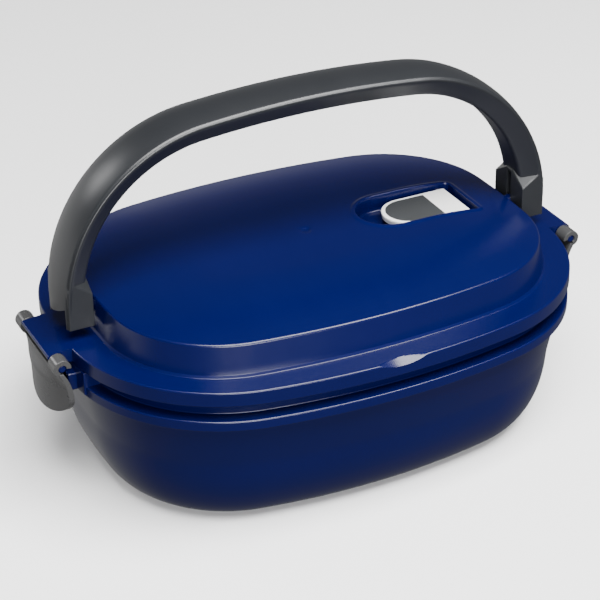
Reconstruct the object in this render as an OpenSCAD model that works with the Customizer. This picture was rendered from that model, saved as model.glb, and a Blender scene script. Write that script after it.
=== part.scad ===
// Electric lunch box: a heated oval tub, its steel tray, and a lift-off lid
// that carries an arched handle, two end latches and a vent flap.
// Millimetres. The origin is on the table under the middle of the tub, +Z is up,
// +X runs along the length and the scooped front of the lid faces -Y.

/* [Tub and lid outline] */
// Length of the lid's flange, end to end.
flange_l = 230; // [216:1:250]
// Width of the lid's flange, front to back.
flange_w = 174; // [164:1:188]
// Radius of the flange's four corners.
corner_r = 71; // [66:1:76]
// Half angle of the arc that makes a short end of the flange.
end_a = 2.07; // [1.8:0.01:2.4]
// Angle from the length at which a long side's arc begins.
side_a = 79.26; // [78.6:0.02:80]
// Height from the tub's underside to the top of the lid's flange.
tub_h = 72; // [66:1:80]
// How far the rubber feet stand out under the tub.
foot_h = 1; // [0.6:0.1:2]

/* [Tub] */
// Wall of the tub.
tub_wall = 2.4; // [2:0.1:3]
// Height of the tub's flange band.
tub_flange_h = 4.7; // [4:0.1:6]
// Open groove between the lid's skirt and the tub's flange.
groove_h = 7; // [6:0.1:8]
// Step from the tub's flange back to its body.
body_step = 4; // [3.5:0.1:5]
// Draft of the body's straight wall.
body_draft = 3.7; // [2:0.1:5]
// Height of the body's rounded foot.
round_h = 34; // [28:1:38]
// Inward reach of the body's rounded foot.
round_w = 17; // [12:0.5:19]
// Step from the tub's flange back to its upright rim.
rim_step = 6.5; // [6:0.1:7]

/* [Lid] */
// Wall of the lid.
lid_wall = 2.2; // [1.8:0.1:2.4]
// Height of the lid's skirt band.
skirt_h = 6.7; // [6:0.1:7.4]
// Step from the end of the flange to the dome.
dome_end_gap = 16; // [15:0.5:18]
// Step from the side of the flange to the dome.
dome_side_gap = 15; // [14:0.5:17]
// Radius of the dome's corners.
dome_corner_r = 51; // [49:1:54]
// Half angle of the arc that makes a short end of the dome.
dome_end_a = 2.62; // [2.3:0.01:3]
// Angle from the length at which a long side of the dome begins.
dome_side_a = 81.14; // [80.4:0.02:81.8]
// Height of the dome's edge over the flange.
dome_h = 13.7; // [12.5:0.1:15]
// Rise of the dome's top from its edge to its middle.
crown_h = 5.6; // [4.5:0.1:6.5]

/* [Handle] */
// Length between the outer faces of the handle's legs.
handle_span = 229; // [228:0.5:232]
// Height of the handle's top over the flange.
handle_h = 87.5; // [80:0.5:100]
// Width of the handle, front to back.
handle_w = 23.6; // [22:0.2:26]
// Depth of the handle's bar.
handle_t = 10.4; // [9:0.1:11.4]
// Radius of the handle's shoulders.
shoulder_r = 72; // [64:1:78]
// Half angle of the arc that makes the handle's top.
top_a = 6; // [5:0.25:7]
// Height of the handle's pivots over the flange.
pivot_h = 9.5; // [9:0.1:10]
// Radius of the handle's pivot pins.
pivot_r = 2.8; // [2.4:0.1:3]
// Gap from the handle's feet to the flange.
foot_gap = 5; // [4.8:0.1:5.6]

/* [Latches] */
// Half width of a latch at its clips.
latch_half = 23.75; // [23:0.25:25]
// Half width of the ear between a latch's clips.
ear_half = 16.2; // [15:0.1:17]
// How far the ear stands out past the flange.
ear_reach = 10.2; // [9.8:0.1:10.6]
// Radius of the ear's pins.
ear_pin_r = 1.7; // [1.5:0.1:1.8]
// Length of a latch's tongue below its pins.
tongue_h = 27; // [25:0.5:30]
// Wall of a latch.
latch_wall = 2.2; // [1.8:0.1:2.4]

/* [Vent] */
// Length of the vent recess.
recess_l = 52.5; // [50:0.5:56]
// Width of the vent recess.
recess_w = 28.6; // [28:0.2:31]
// Length of the vent flap.
flap_l = 37; // [34:0.5:38]
// Width of the vent flap.
flap_w = 24.2; // [22:0.2:25]
// Thickness of the vent flap.
flap_t = 2.8; // [2.4:0.1:3]
// Radius of the vent hole.
vent_r = 3.2; // [2.6:0.1:3.8]

/* [Heater] */
// Radius of the heating plate.
plate_r = 42; // [36:1:46]
// Thickness of the heating plate.
plate_t = 3; // [2:0.1:4]
// Wall of the steel tray.
tray_wall = 0.7; // [0.6:0.1:1]

/* [Hidden] */
$fn = 72;
fit = 0.05;
gap = 0.3;
eps = 0.5;
key = 0.4;

lid_z = foot_h + tub_h;
skirt_z = lid_z - skirt_h;
tub_flange_z = skirt_z - groove_h;
tub_under_z = tub_flange_z - tub_flange_h;

// An oval is [half length, half width, corner radius, end angle, side angle].
flange_oval = [flange_l / 2, flange_w / 2, corner_r, end_a, side_a];
dome_oval = [flange_l / 2 - dome_end_gap, flange_w / 2 - dome_side_gap,
             dome_corner_r, dome_end_a, dome_side_a];

rim_top = -skirt_h - 1.3;
well_t = 1.6;
well_step = rim_step + tub_wall + 1.5;
tray_step = well_step + well_t + 1.1;
tray_rim_z = rim_top + well_t + 0.1;
seal_z0 = tray_rim_z + tray_wall + 0.2;
liner_t = 1.3;
liner_z = -lid_wall - liner_t;
plug_step = tray_step + tray_wall + 1;
plug_z = -12.5;

floor_z = -tub_h + tub_wall;
well_floor_z = floor_z + 19;
plate_z = well_floor_z + well_t;
cover_step = body_step + body_draft + round_w + 7.5;
cover_t = 2;
ledge = 8;
screw_x = flange_l / 2 - cover_step - ledge / 2;
screw_y = flange_w / 2 - cover_step - ledge / 2;
boss_r = 3.6;
screw_r = 1.5;

foot_x = flange_l / 2 - 61;
foot_y = flange_w / 2 - 61;
foot_r = 8;

handle_half = handle_w / 2;
leg_out = handle_span / 2;
foot_in = leg_out - 12.3;
foot_wall = 2.2;
foot_top = 21.5;

ear_z = -1;
ear_t = 1.5;
pin_dx = 3.6;
pin_dz = 4.1;
ear_x = flange_l / 2 + ear_reach;
pin_x = ear_x - pin_dx;
pin_z = -pin_dz;
ring_r = pin_dx + 0.2;
catch_z = -skirt_h - groove_h - tub_flange_h;
catch_half = 18.5;
block_half = 26;
block_bite = 0.2;
catch_out = 3.3;

recess_x1 = flange_l / 2 - 36.5;
recess_x0 = recess_x1 - recess_l;
recess_z = dome_h + crown_h - 7.3;
lip = 1.5;
flap_x1 = recess_x1 - 2.9;
flap_x0 = flap_x1 - flap_l;
flap_z = dome_h + crown_h - 2.7;
flap_pin_r = 1;
flap_pin_x = flap_x1 - 2;
flap_pin_z = flap_z - 1.9;
vent_x = flap_x0 + 19;
seat_h = 0.5;

socket_w = 21;
socket_h = 12.6;
socket_z = foot_h + 11.6;
socket_y = flange_w / 2 - body_step - body_draft - 2.1;
boss_in = 6.5;
boss_w = 15;

// ---- oval outlines made of eight tangent arcs ----

// Each arc is [centre x, centre y, radius, first angle, sweep].
function arcs(o) =
    let (pe = o[3], ps = o[4], a = o[0] - o[2], b = o[1] - o[2],
         det = (1 - cos(pe)) * (1 - sin(ps)) - cos(ps) * sin(pe),
         p = (a * (1 - sin(ps)) - b * cos(ps)) / det,
         q = (b * (1 - cos(pe)) - a * sin(pe)) / det,
         ex = a - p, sy = b - q, cx = q * cos(ps), cy = p * sin(pe), r = o[2], w = ps - pe)
    [[ex, 0, p + r, -pe, 2 * pe],
     [cx, cy, r, pe, w],
     [0, sy, q + r, ps, 180 - 2 * ps],
     [-cx, cy, r, 180 - ps, w],
     [-ex, 0, p + r, 180 - pe, 2 * pe],
     [-cx, -cy, r, 180 + pe, w],
     [0, -sy, q + r, 180 + ps, 180 - 2 * ps],
     [cx, -cy, r, 360 - ps, w]];

// Moves by whole thousandths first and the rest after, so that the arcs meet exactly.
module move_to(v) {
    part = [for (c = v) round(c * 1000) / 1000];
    translate(part)
        translate(v - part)
            children();
}

// Points along an oval that is drawn in by a step.
function oval_pts(o, step) =
    [for (a = arcs(o)) let (n = a[2] > 100 ? 4 : 9)
        for (i = [0 : n - 1]) let (t = a[3] + a[4] * i / n)
            [a[0] + (a[2] - step) * cos(t), a[1] + (a[2] - step) * sin(t)]];

// Sweeps a profile round an oval: x 0 is the outline, and x below 0 is inside it.
module oval_sweep(o) {
    for (a = arcs(o))
        move_to([a[0], a[1], 0])
            rotate_extrude(start = a[3], angle = a[4])
                move_to([a[2], 0, 0])
                    children();
}

// Small keys inside a swept wall, at [x, z], which make its arcs overlap.
module arc_keys(o, at) {
    for (a = arcs(o))
        translate([a[0], a[1], 0])
            rotate(a[3])
                translate([a[2] + at[0] - key / 2, -key / 2, at[1] - key / 2])
                    cube(key);
}

// An oval slab from z0 to z1 with its edge at a step inside the outline.
module oval_slab(o, step, z0, z1, band = 5) {
    oval_sweep(o)
        translate([-step - band, z0])
            square([band, z1 - z0]);
    translate([0, 0, z0])
        linear_extrude(z1 - z0)
            polygon(oval_pts(o, step + band / 2));
}

// An oval ring from z0 to z1 between two steps.
module oval_ring(o, outer, inner, z0, z1) {
    oval_sweep(o)
        translate([-inner, z0])
            square([inner - outer, z1 - z0]);
}

// ---- tub ----

// Step of the body's wall at a height that is measured down from the flange's top.
function body_step_at(z, t) =
    let (top = catch_z, knee = -tub_h + round_h, drop = (knee - z) / round_h)
    z > knee
        ? body_step + body_draft * (top - z) / (top - knee) + t
        : body_step + body_draft + round_w * (1 - sqrt(max(0, 1 - drop * drop)))
          + t * (1 + drop * 0.35);

function body_wall(t, low) =
    [for (i = [0 : 12]) let (z = catch_z + (low - catch_z) * sin(90 * i / 12))
        [-body_step_at(z, t), z]];

module tub_profile() {
    outer = body_wall(0, -tub_h + 0.6);
    inner = body_wall(tub_wall, -tub_h + tub_wall + 1.2);
    edge = -body_step - body_draft - round_w;
    polygon(concat(
        [[-rim_step, rim_top], [-rim_step, catch_z + tub_flange_h],
         [-0.9, catch_z + tub_flange_h], [-0.3, catch_z + tub_flange_h - 0.6],
         [-0.3, catch_z + 0.4], [-0.7, catch_z]],
        outer,
        [[edge + 0.4, -tub_h], [-cover_step + gap, -tub_h], [-cover_step + gap, -tub_h + cover_t],
         [-cover_step - ledge, -tub_h + cover_t],
         [-cover_step - ledge, -tub_h + cover_t + tub_wall],
         [-cover_step + tub_wall, -tub_h + cover_t + tub_wall],
         [-cover_step + tub_wall + 2, -tub_h + tub_wall]],
        [for (i = [12 : -1 : 0]) inner[i]],
        [[-rim_step - tub_wall, catch_z + tub_flange_h + 1], [-rim_step - tub_wall, rim_top]]));
}

module catch(side) {
    x0 = flange_l / 2 - 4;
    x1 = flange_l / 2 - 0.3;
    scale([side, 1, 1]) {
        intersection() {
            oval_sweep(flange_oval)
                translate([-rim_step - block_bite, catch_z + tub_flange_h - eps])
                    square([rim_step + block_bite - 0.3, groove_h + eps - 0.2]);
            translate([x0 - 12, -block_half, catch_z])
                cube([24, 2 * block_half, 30]);
        }
        translate([x0, -catch_half, catch_z])
            cube([x1 - x0 + catch_out, 2 * catch_half, 8]);
    }
}

module socket_hole(d) {
    translate([0, socket_y, socket_z - lid_z])
        rotate([90, 0, 0])
            translate([0, 0, -30])
                linear_extrude(60)
                    socket_outline(d);
}

module socket_outline(d) {
    w = (socket_w - socket_h) / 2;
    union() {
        square([2 * w, socket_h + 2 * d], center = true);
        for (x = [-w, w])
            translate([x, 0])
                circle(r = socket_h / 2 + d);
    }
}

module screw_spots() {
    for (p = [[-screw_x, 0], [screw_x, 0], [0, -screw_y], [0, screw_y]])
        translate([p[0], p[1], 0])
            children();
}

module tub_shell() {
    color([0.02, 0.1, 0.42])
    translate([0, 0, lid_z])
    difference() {
        union() {
            oval_sweep(flange_oval)
                tub_profile();
            arc_keys(flange_oval, [-rim_step - tub_wall / 2, catch_z + tub_flange_h + 2.5]);
            catch(-1);
            catch(1);
            // Flat boss for the inlet socket, low on the back of the rounded wall.
            translate([-boss_w, socket_y - boss_in, socket_z - lid_z - 8.6])
                cube([2 * boss_w, boss_in, 17.2]);
        }
        screw_spots()
            translate([0, 0, -tub_h])
                cylinder(r = screw_r + 0.3, h = 10);
        socket_hole(0.1);
    }
}

module bottom_cover() {
    color([0.1, 0.11, 0.13])
    translate([0, 0, lid_z - tub_h])
    difference() {
        oval_slab(flange_oval, cover_step, 0, cover_t);
        screw_spots()
            translate([0, 0, -1]) {
                cylinder(r = screw_r + 0.3, h = cover_t + 2);
                cylinder(r = 3.2, h = 2);
            }
        for (x = [-foot_x, foot_x])
            for (y = [-foot_y, foot_y])
                translate([x, y, -1])
                    cylinder(r = 2.5, h = cover_t + 2);
        for (x = [-30 : 10 : 30])
            translate([x - 1.5, -12, -1])
                cube([3, 24, cover_t + 2]);
    }
}

module foot(sx, sy) {
    color([0.09, 0.09, 0.1])
    translate([sx * foot_x, sy * foot_y, 0]) {
        cylinder(r1 = foot_r - 1, r2 = foot_r, h = foot_h);
        cylinder(r = 2.5 - fit, h = foot_h + cover_t + 0.8);
        translate([0, 0, foot_h + cover_t])
            cylinder(r1 = 3.6, r2 = 2.4, h = 1.4);
    }
}

module foot_front_left() { foot(-1, -1); }
module foot_front_right() { foot(1, -1); }
module foot_back_left() { foot(-1, 1); }
module foot_back_right() { foot(1, 1); }

module cover_screw(x, y) {
    color([0.7, 0.7, 0.72])
    translate([x, y, foot_h])
    difference() {
        union() {
            translate([0, 0, 0.2])
                cylinder(r = 2.9, h = 0.8);
            cylinder(r = screw_r - 0.02, h = cover_t + tub_wall + 11);
        }
        translate([-2.2, -0.35, -1])
            cube([4.4, 0.7, 1.7]);
        translate([-0.35, -2.2, -1])
            cube([0.7, 4.4, 1.7]);
    }
}

module cover_screw_left() { cover_screw(-screw_x, 0); }
module cover_screw_right() { cover_screw(screw_x, 0); }
module cover_screw_front() { cover_screw(0, -screw_y); }
module cover_screw_back() { cover_screw(0, screw_y); }

// ---- heated well and tray ----

module well_profile(out, t, z_top, z_floor, r) {
    polygon([[-out, z_top], [-out - t, z_top], [-out - t - 2.4, z_floor + r + t],
             [-out - t - 2.4 - r * 0.3, z_floor + t + r * 0.3],
             [-out - t - 2.4 - r, z_floor + t], [-out - t - 16, z_floor + t],
             [-out - t - 16, z_floor], [-out - 2.4 - r, z_floor],
             [-out - 2.4 - r * 0.3, z_floor + r * 0.3], [-out - 2.4, z_floor + r]]);
}

module heat_well() {
    color([0.8, 0.8, 0.79])
    translate([0, 0, lid_z])
    difference() {
        union() {
            oval_ring(flange_oval, rim_step + 0.4, well_step + well_t, rim_top, rim_top + well_t);
            oval_sweep(flange_oval)
                well_profile(well_step, well_t, rim_top + eps, well_floor_z, 10);
            translate([0, 0, well_floor_z])
                linear_extrude(well_t)
                    polygon(oval_pts(flange_oval, well_step + well_t + 15));
            screw_spots()
                translate([0, 0, floor_z + cover_t])
                    cylinder(r = boss_r, h = well_floor_z - floor_z - cover_t + eps);
        }
        translate([0, 0, well_floor_z - 5])
            cylinder(r = plate_r - 5, h = 10);
        screw_spots()
            translate([0, 0, floor_z])
                cylinder(r = screw_r, h = 15);
    }
}

module heating_plate() {
    color([0.78, 0.79, 0.8])
    translate([0, 0, lid_z + plate_z]) {
        translate([0, 0, -well_t])
            cylinder(r = plate_r - 5.3, h = well_t + 0.6);
        translate([0, 0, -well_t - 0.8 - plate_t])
            cylinder(r = plate_r, h = plate_t);
        translate([0, 0, -well_t - 1])
            cylinder(r = plate_r - 6.5, h = 1.5);
    }
}

module plate_gasket() {
    color([0.75, 0.3, 0.2])
    translate([0, 0, lid_z + plate_z - well_t - 0.8])
    difference() {
        cylinder(r = plate_r - 0.5, h = 0.8);
        translate([0, 0, -1])
            cylinder(r = plate_r - 5, h = 3);
    }
}

heater_z = well_floor_z - 0.8 - plate_t;

module heater_block() {
    color([0.86, 0.85, 0.8])
    translate([-20, -9, lid_z + heater_z - 4.5])
        cube([40, 18, 4.5]);
}

module heater_clamp() {
    color([0.72, 0.73, 0.75])
    translate([0, 0, lid_z + heater_z])
    difference() {
        union() {
            translate([-21.2, -5, -5.7])
                cube([42.4, 10, 1.2]);
            for (s = [-1, 1]) {
                translate([s * 20.6 - 0.6, -5, -5.7])
                    cube([1.2, 10, 5.7]);
                translate([s * 26.1 - 5.5, -5, -1.2])
                    cube([11, 10, 1.2]);
            }
        }
        for (s = [-1, 1])
            translate([s * 27, 0, -3])
                cylinder(r = 1.8, h = 6);
    }
}

module clamp_screw(side) {
    color([0.75, 0.72, 0.6])
    translate([side * 27, 0, lid_z + heater_z])
    difference() {
        union() {
            translate([0, 0, -3.2])
                cylinder(r = 3, h = 2);
            translate([0, 0, -3])
                cylinder(r = 1.5, h = 3);
        }
        translate([-3.5, -0.4, -3.8])
            cube([7, 0.8, 1.2]);
    }
}

module clamp_screw_left() { clamp_screw(-1); }
module clamp_screw_right() { clamp_screw(1); }

module thermostat() {
    color([0.25, 0.2, 0.17])
    translate([0, 24, lid_z + heater_z]) {
        translate([0, 0, -2])
            cylinder(r = 8, h = 2);
        translate([0, 0, -7])
            cylinder(r = 6.5, h = 5 + 0.2);
        for (x = [-4, 4])
            translate([x - 0.4, -2, -11])
                cube([0.8, 4, 4 + 0.2]);
    }
}

module thermal_fuse() {
    color([0.85, 0.85, 0.8])
    translate([0, -20, lid_z + heater_z - 3])
        rotate([0, 90, 0]) {
            cylinder(r = 3, h = 22, center = true);
            cylinder(r = 0.6, h = 36, center = true);
        }
}

// ---- inlet ----

socket_back = 16;
socket_deep = 10;
pin_back = 20;

module inlet_socket() {
    color([0.06, 0.06, 0.07])
    translate([0, socket_y, socket_z])
    difference() {
        union() {
            translate([0, 0.6, 0])
                rotate([90, 0, 0])
                    linear_extrude(socket_back)
                        socket_outline(0);
            // Shoulder that bears on the inside of the boss.
            translate([-boss_w + 1, -boss_in - 2, -2])
                cube([2 * boss_w - 2, 2, 10]);
        }
        translate([0, 1, 0])
            rotate([90, 0, 0])
                linear_extrude(socket_deep + 1)
                    socket_outline(-2);
    }
}

module inlet_pin(side) {
    color([0.83, 0.74, 0.45])
    translate([side * 4.3, socket_y, socket_z]) {
        translate([0, -1.5, 0])
            rotate([90, 0, 0])
                cylinder(r = 1.2, h = socket_deep - 1.5);
        translate([0, -socket_deep, 0])
            rotate([90, 0, 0])
                cylinder(r = 1.6, h = pin_back - socket_deep - 2);
        translate([-1.6, -pin_back, -0.4])
            cube([3.2, 3.5, 0.8]);
    }
}

module inlet_pin_left() { inlet_pin(-1); }
module inlet_pin_right() { inlet_pin(1); }

// A wire run of straight lengths with round joints.
module wire_run(points, r) {
    for (i = [0 : len(points) - 2]) {
        v = points[i + 1] - points[i];
        l = norm(v);
        translate(points[i])
            rotate([0, acos(v[2] / l), atan2(v[1], v[0])])
                cylinder(r = r, h = l, $fn = 24);
        if (i > 0) {
            u = points[i - 1] - points[i];
            out = -u / norm(u) - v / l;
            translate(points[i])
                rotate([0, 0, round(atan2(out[1], out[0]))])
                    sphere(r = r * 1.3, $fn = 32);
        }
    }
}

// Points are [x, y, depth below the heating plate].
module heater_wire(points) {
    wire_run([for (p = points) [p[0], p[1], lid_z + heater_z - p[2]]], 0.9);
}

pin_end = socket_y - pin_back;
pin_depth = lid_z + heater_z - socket_z;

module wire_live() {
    color([0.6, 0.12, 0.1])
    heater_wire([[4.3, pin_end, pin_depth], [4.3, pin_end - 2, pin_depth],
                 [10, pin_end - 9, 7], [10, 36, 7], [4, 32, 9], [4, 26, 9]]);
}

module wire_neutral() {
    color([0.12, 0.2, 0.5])
    heater_wire([[-4.3, pin_end, pin_depth], [-4.3, pin_end - 2, pin_depth],
                 [-12, pin_end - 9, 7], [-28, 24, 7], [-38, 0, 6], [-28, -20, 3], [-18, -20, 3]]);
}

module heater_lead_back() {
    color([0.75, 0.75, 0.72])
    heater_wire([[-4, 22, 9], [-4, 17, 9], [-4, 12.5, 2.6], [-4, 9, 2.6]]);
}

module heater_lead_front() {
    color([0.75, 0.75, 0.72])
    heater_wire([[18, -20, 3], [19.5, -20, 3], [16, -13, 2.6], [16, -9, 2.6]]);
}

module food_tray() {
    color([0.78, 0.79, 0.8])
    translate([0, 0, lid_z]) {
        oval_ring(flange_oval, rim_step + 1.6, tray_step + tray_wall, tray_rim_z,
                  tray_rim_z + tray_wall);
        oval_sweep(flange_oval)
            well_profile(tray_step, tray_wall, tray_rim_z + 0.2, plate_z + 0.7, 10);
        translate([0, 0, plate_z + 0.7])
            linear_extrude(tray_wall)
                polygon(oval_pts(flange_oval, tray_step + tray_wall + 15));
    }
}

// ---- lid ----

// Height of the dome's top at a step inside its edge.
crown_reach = 45;
function crown(d) = crown_h * (1 - pow(max(0, 1 - d / crown_reach), 1.8));

module dome_profile() {
    n = 8;
    top = [for (i = [0 : n]) let (d = 1 + (crown_reach - 1) * i / n) [-d, dome_h + crown(d)]];
    low = [for (i = [n : -1 : 1])
        let (d = 1 + (crown_reach - 1) * i / n)
        [-d, dome_h + crown(d) - lid_wall]];
    flat = crown_reach + 2;
    polygon(concat(
        [[1.8, -1.2], [3, 0], [2.3, 0.5], [1.9, 1.4], [0.5, dome_h - 1.4], [0, dome_h - 0.4]],
        top, [[-flat, dome_h + crown_h], [-flat, dome_h + crown_h - lid_wall]], low,
        [[-lid_wall - 0.6, dome_h - 1.6], [-lid_wall + 1.4, 0.8],
                   [-lid_wall + 1.8, -lid_wall], [1.8, -lid_wall]]));
}

module ear(side) {
    scale([side, 1, 1]) {
        translate([0, ear_half, 0])
            rotate([90, 0, 0])
                linear_extrude(2 * ear_half)
                    polygon([[flange_l / 2 - 6, -0.4], [flange_l / 2 - 1.5, 0],
                             [ear_x - 1.2, ear_z + 0.2], [ear_x, ear_z - 0.3],
                             [ear_x, ear_z - ear_t], [flange_l / 2 + 4, ear_z - ear_t - 0.6],
                             [flange_l / 2 + 1.5, -skirt_h + 1], [flange_l / 2 - 2, -skirt_h + 0.6]]);
        translate([pin_x, 0, pin_z])
            rotate([90, 0, 0])
                cylinder(r = ear_pin_r, h = 2 * latch_half - 0.6, center = true);
        translate([pin_x - ear_pin_r, -ear_half, pin_z])
            cube([2 * ear_pin_r, 2 * ear_half, -pin_z + ear_z - ear_t + 0.3]);
        translate([flange_l / 2, -ear_half, pin_z - 0.8])
            cube([pin_x - flange_l / 2, 2 * ear_half, 1.6]);
    }
}

module pivot(side) {
    x0 = flange_l / 2 - dome_end_gap - 1.6;
    translate([side * x0, 0, pivot_h])
        rotate([0, side * 90, 0]) {
            cylinder(r = pivot_r, h = foot_in + foot_wall + 2 - x0);
            translate([0, 0, foot_in + foot_wall + 2 - x0])
                cylinder(r1 = pivot_r, r2 = pivot_r - 0.8, h = 0.8);
        }
}

// Outline of the vent recess, round at its left end, grown by d.
module recess_outline(d) {
    r = recess_w / 2;
    union() {
        translate([recess_x0 + r, 0])
            circle(r = r + d);
        translate([recess_x0 + r, -r - d])
            square([recess_l - r - 1.5, 2 * (r + d)]);
        translate([recess_x0 + r, -r + 1.5])
            square([recess_l - r + d, 2 * (r - 1.5)]);
        for (s = [-1, 1])
            translate([recess_x1 - 1.5, s * (r - 1.5)])
                circle(r = 1.5 + d);
    }
}

// The space over the recess lip, which slopes down with the dome towards its end.
module over_lip() {
    x1 = flange_l / 2 - dome_end_gap;
    n = 6;
    translate([0, recess_w, 0])
        rotate([90, 0, 0])
            linear_extrude(2 * recess_w)
                polygon(concat([[x1 - crown_reach - 60, 60],
                    [x1 - crown_reach - 60, dome_h + crown_h + 0.7]],
                    [for (i = [n : -1 : 0]) let (d = 4 + (crown_reach - 4) * i / n)
                        [x1 - d, dome_h + crown(d) + 0.7]], [[x1 - 4, 60]]));
}

module lid_shell() {
    pocket_t = 2;
    color([0.02, 0.1, 0.42])
    translate([0, 0, lid_z])
    difference() {
        union() {
            oval_sweep(flange_oval)
                polygon([[-0.8, 0], [-6, 0], [-6, -lid_wall], [-lid_wall, -lid_wall],
                         [-lid_wall, -skirt_h + 0.2], [-lid_wall + 0.3, -skirt_h],
                         [-0.4, -skirt_h], [0, -skirt_h + 0.5], [0, -0.7]]);
            translate([0, 0, -lid_wall])
                linear_extrude(lid_wall)
                    difference() {
                        polygon(oval_pts(flange_oval, 4));
                        polygon(oval_pts(dome_oval, -0.7));
                    }
            oval_sweep(dome_oval)
                dome_profile();
            translate([0, 0, dome_h + crown_h - lid_wall])
                linear_extrude(lid_wall)
                    polygon(oval_pts(dome_oval, crown_reach + 1));
            ear(-1);
            ear(1);
            pivot(-1);
            pivot(1);
            difference() {
                translate([0, 0, recess_z - pocket_t])
                    linear_extrude(dome_h + crown_h + 1 - recess_z + pocket_t)
                        recess_outline(lip);
                over_lip();
            }
        }
        translate([0, 0, recess_z])
            linear_extrude(20)
                recess_outline(0);
        translate([vent_x, 0, recess_z - 5])
            cylinder(r = vent_r, h = 10);
        translate([flap_pin_x, 0, flap_pin_z])
            rotate([90, 0, 0])
                cylinder(r = flap_pin_r, h = recess_w + 2, center = true);
        // Finger scoop in the front edge of the flange.
        translate([1, -flange_w / 2 - 20.3, 29.3])
            sphere(r = 37.6, $fn = 96);
    }
    translate([vent_x, 0, lid_z + recess_z - 0.2])
        difference() {
            cylinder(r = vent_r + 1.6, h = seat_h + 0.2);
            translate([0, 0, -1])
                cylinder(r = vent_r, h = 4);
        }
}

module lid_liner() {
    color([0.84, 0.84, 0.82])
    translate([0, 0, lid_z])
    difference() {
        union() {
            oval_ring(flange_oval, rim_step + 0.2, plug_step + liner_t, liner_z, -lid_wall);
            oval_ring(flange_oval, rim_step + 0.2, rim_step + 1.2, liner_z - 1.2, liner_z + eps);
            oval_ring(flange_oval, plug_step, plug_step + liner_t, plug_z, liner_z + eps);
            oval_slab(flange_oval, plug_step, plug_z, plug_z + liner_t);
        }
        translate([vent_x, 0, plug_z - 1])
            cylinder(r = vent_r, h = 5);
    }
}

module seal_profile() {
    back = liner_z - 1;
    polygon([[-rim_step - 1.5, liner_z], [-rim_step - 1.5, back], [-rim_step - 2.6, back],
             [-rim_step - 2.6, seal_z0], [-rim_step - 4.2, seal_z0], [-rim_step - 4.2, back],
             [-rim_step - 5.2, back], [-rim_step - 5.2, seal_z0 + 0.3],
             [-rim_step - 6.4, seal_z0 + 0.3], [-rim_step - 6.4, back],
             [-plug_step + 0.2, back], [-plug_step + 0.2, liner_z]]);
}

module lid_seal() {
    color([0.9, 0.9, 0.88])
    translate([0, 0, lid_z]) {
        oval_sweep(flange_oval)
            seal_profile();
        arc_keys(flange_oval, [-(rim_step + plug_step) / 2, liner_z - 0.5]);
    }
}

// ---- vent flap ----

module flap_outline(d) {
    r = flap_w / 2;
    union() {
        translate([flap_x0 + r, 0])
            circle(r = r + d);
        translate([flap_x0 + r, -r - d])
            square([flap_l - r - 2, 2 * (r + d)]);
    }
}

module vent_flap() {
    color([0.93, 0.93, 0.92])
    translate([0, 0, lid_z])
    difference() {
        union() {
            translate([0, 0, flap_z - flap_t])
                linear_extrude(flap_t)
                    flap_outline(0);
            translate([flap_pin_x, 0, flap_pin_z])
                rotate([90, 0, 0])
                    cylinder(r = 1.9, h = flap_w, center = true);
        }
        translate([0, 0, flap_z - 0.8])
            linear_extrude(3)
                pad_outline(0);
        translate([flap_pin_x, 0, flap_pin_z])
            rotate([90, 0, 0])
                cylinder(r = flap_pin_r + fit, h = 40, center = true);
    }
}

module pad_outline(d) {
    r = flap_w / 2 - 1.7;
    union() {
        translate([flap_x0 + flap_w / 2, 0])
            circle(r = r + d);
        translate([flap_x0 + flap_w / 2, -r - d])
            square([13 + d, 2 * (r + d)]);
    }
}

module vent_pad() {
    color([0.3, 0.31, 0.32])
    translate([0, 0, lid_z + flap_z - 0.8])
        linear_extrude(0.9)
            pad_outline(-fit);
}

module vent_plug() {
    color([0.85, 0.85, 0.83])
    translate([vent_x, 0, lid_z])
        translate([0, 0, recess_z + seat_h + 0.1])
            cylinder(r = vent_r + 1.8, h = flap_z - flap_t - recess_z - seat_h - 0.1);
}

module vent_pin() {
    color([0.75, 0.76, 0.78])
    translate([flap_pin_x, 0, lid_z + flap_pin_z])
        rotate([90, 0, 0])
            cylinder(r = flap_pin_r - 0.01, h = recess_w + 1.8, center = true);
}

// ---- handle ----

// Where the handle's top arc meets a shoulder arc.
shoulder_c = leg_out - shoulder_r;
top_r = shoulder_r + shoulder_c / sin(top_a);
shoulder_z = handle_h - top_r + (top_r - shoulder_r) * cos(top_a);

// Section of the bar: x 0 is the outer face, and x below 0 is towards the inside.
module bar_section() {
    h = handle_half;
    polygon([[0.3, -h + 4], [0.1, -h + 2], [-0.5, -h + 1.7], [-0.5, -h + 1.2], [-0.1, -h + 1],
             [-0.3, -h + 0.3], [-1.2, -h], [-2.4, -h + 0.1], [-3.6, -h + 1.1],
             [-handle_t + 0.9, -h + 4.6], [-handle_t, -h + 6],
             [-handle_t, h - 6], [-handle_t + 0.9, h - 4.6], [-3.6, h - 1.1],
             [-2.4, h - 0.1], [-1.2, h], [-0.3, h - 0.3], [-0.1, h - 1],
             [-0.5, h - 1.2], [-0.5, h - 1.7], [0.1, h - 2], [0.3, h - 4]]);
}

module bar_arc(cx, cz, r, first, sweep) {
    rotate([90, 0, 0])
        move_to([cx, cz, 0])
            rotate_extrude(start = first, angle = sweep, $fn = 180)
                move_to([r, 0, 0])
                    bar_section();
}

// Arched lower edge of a foot's outer wall, higher at its front.
function arch_z(y) = foot_gap + 2.4 + 7.5 * pow((handle_half - 2.8 - y) / 19.7, 1.4);

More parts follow.
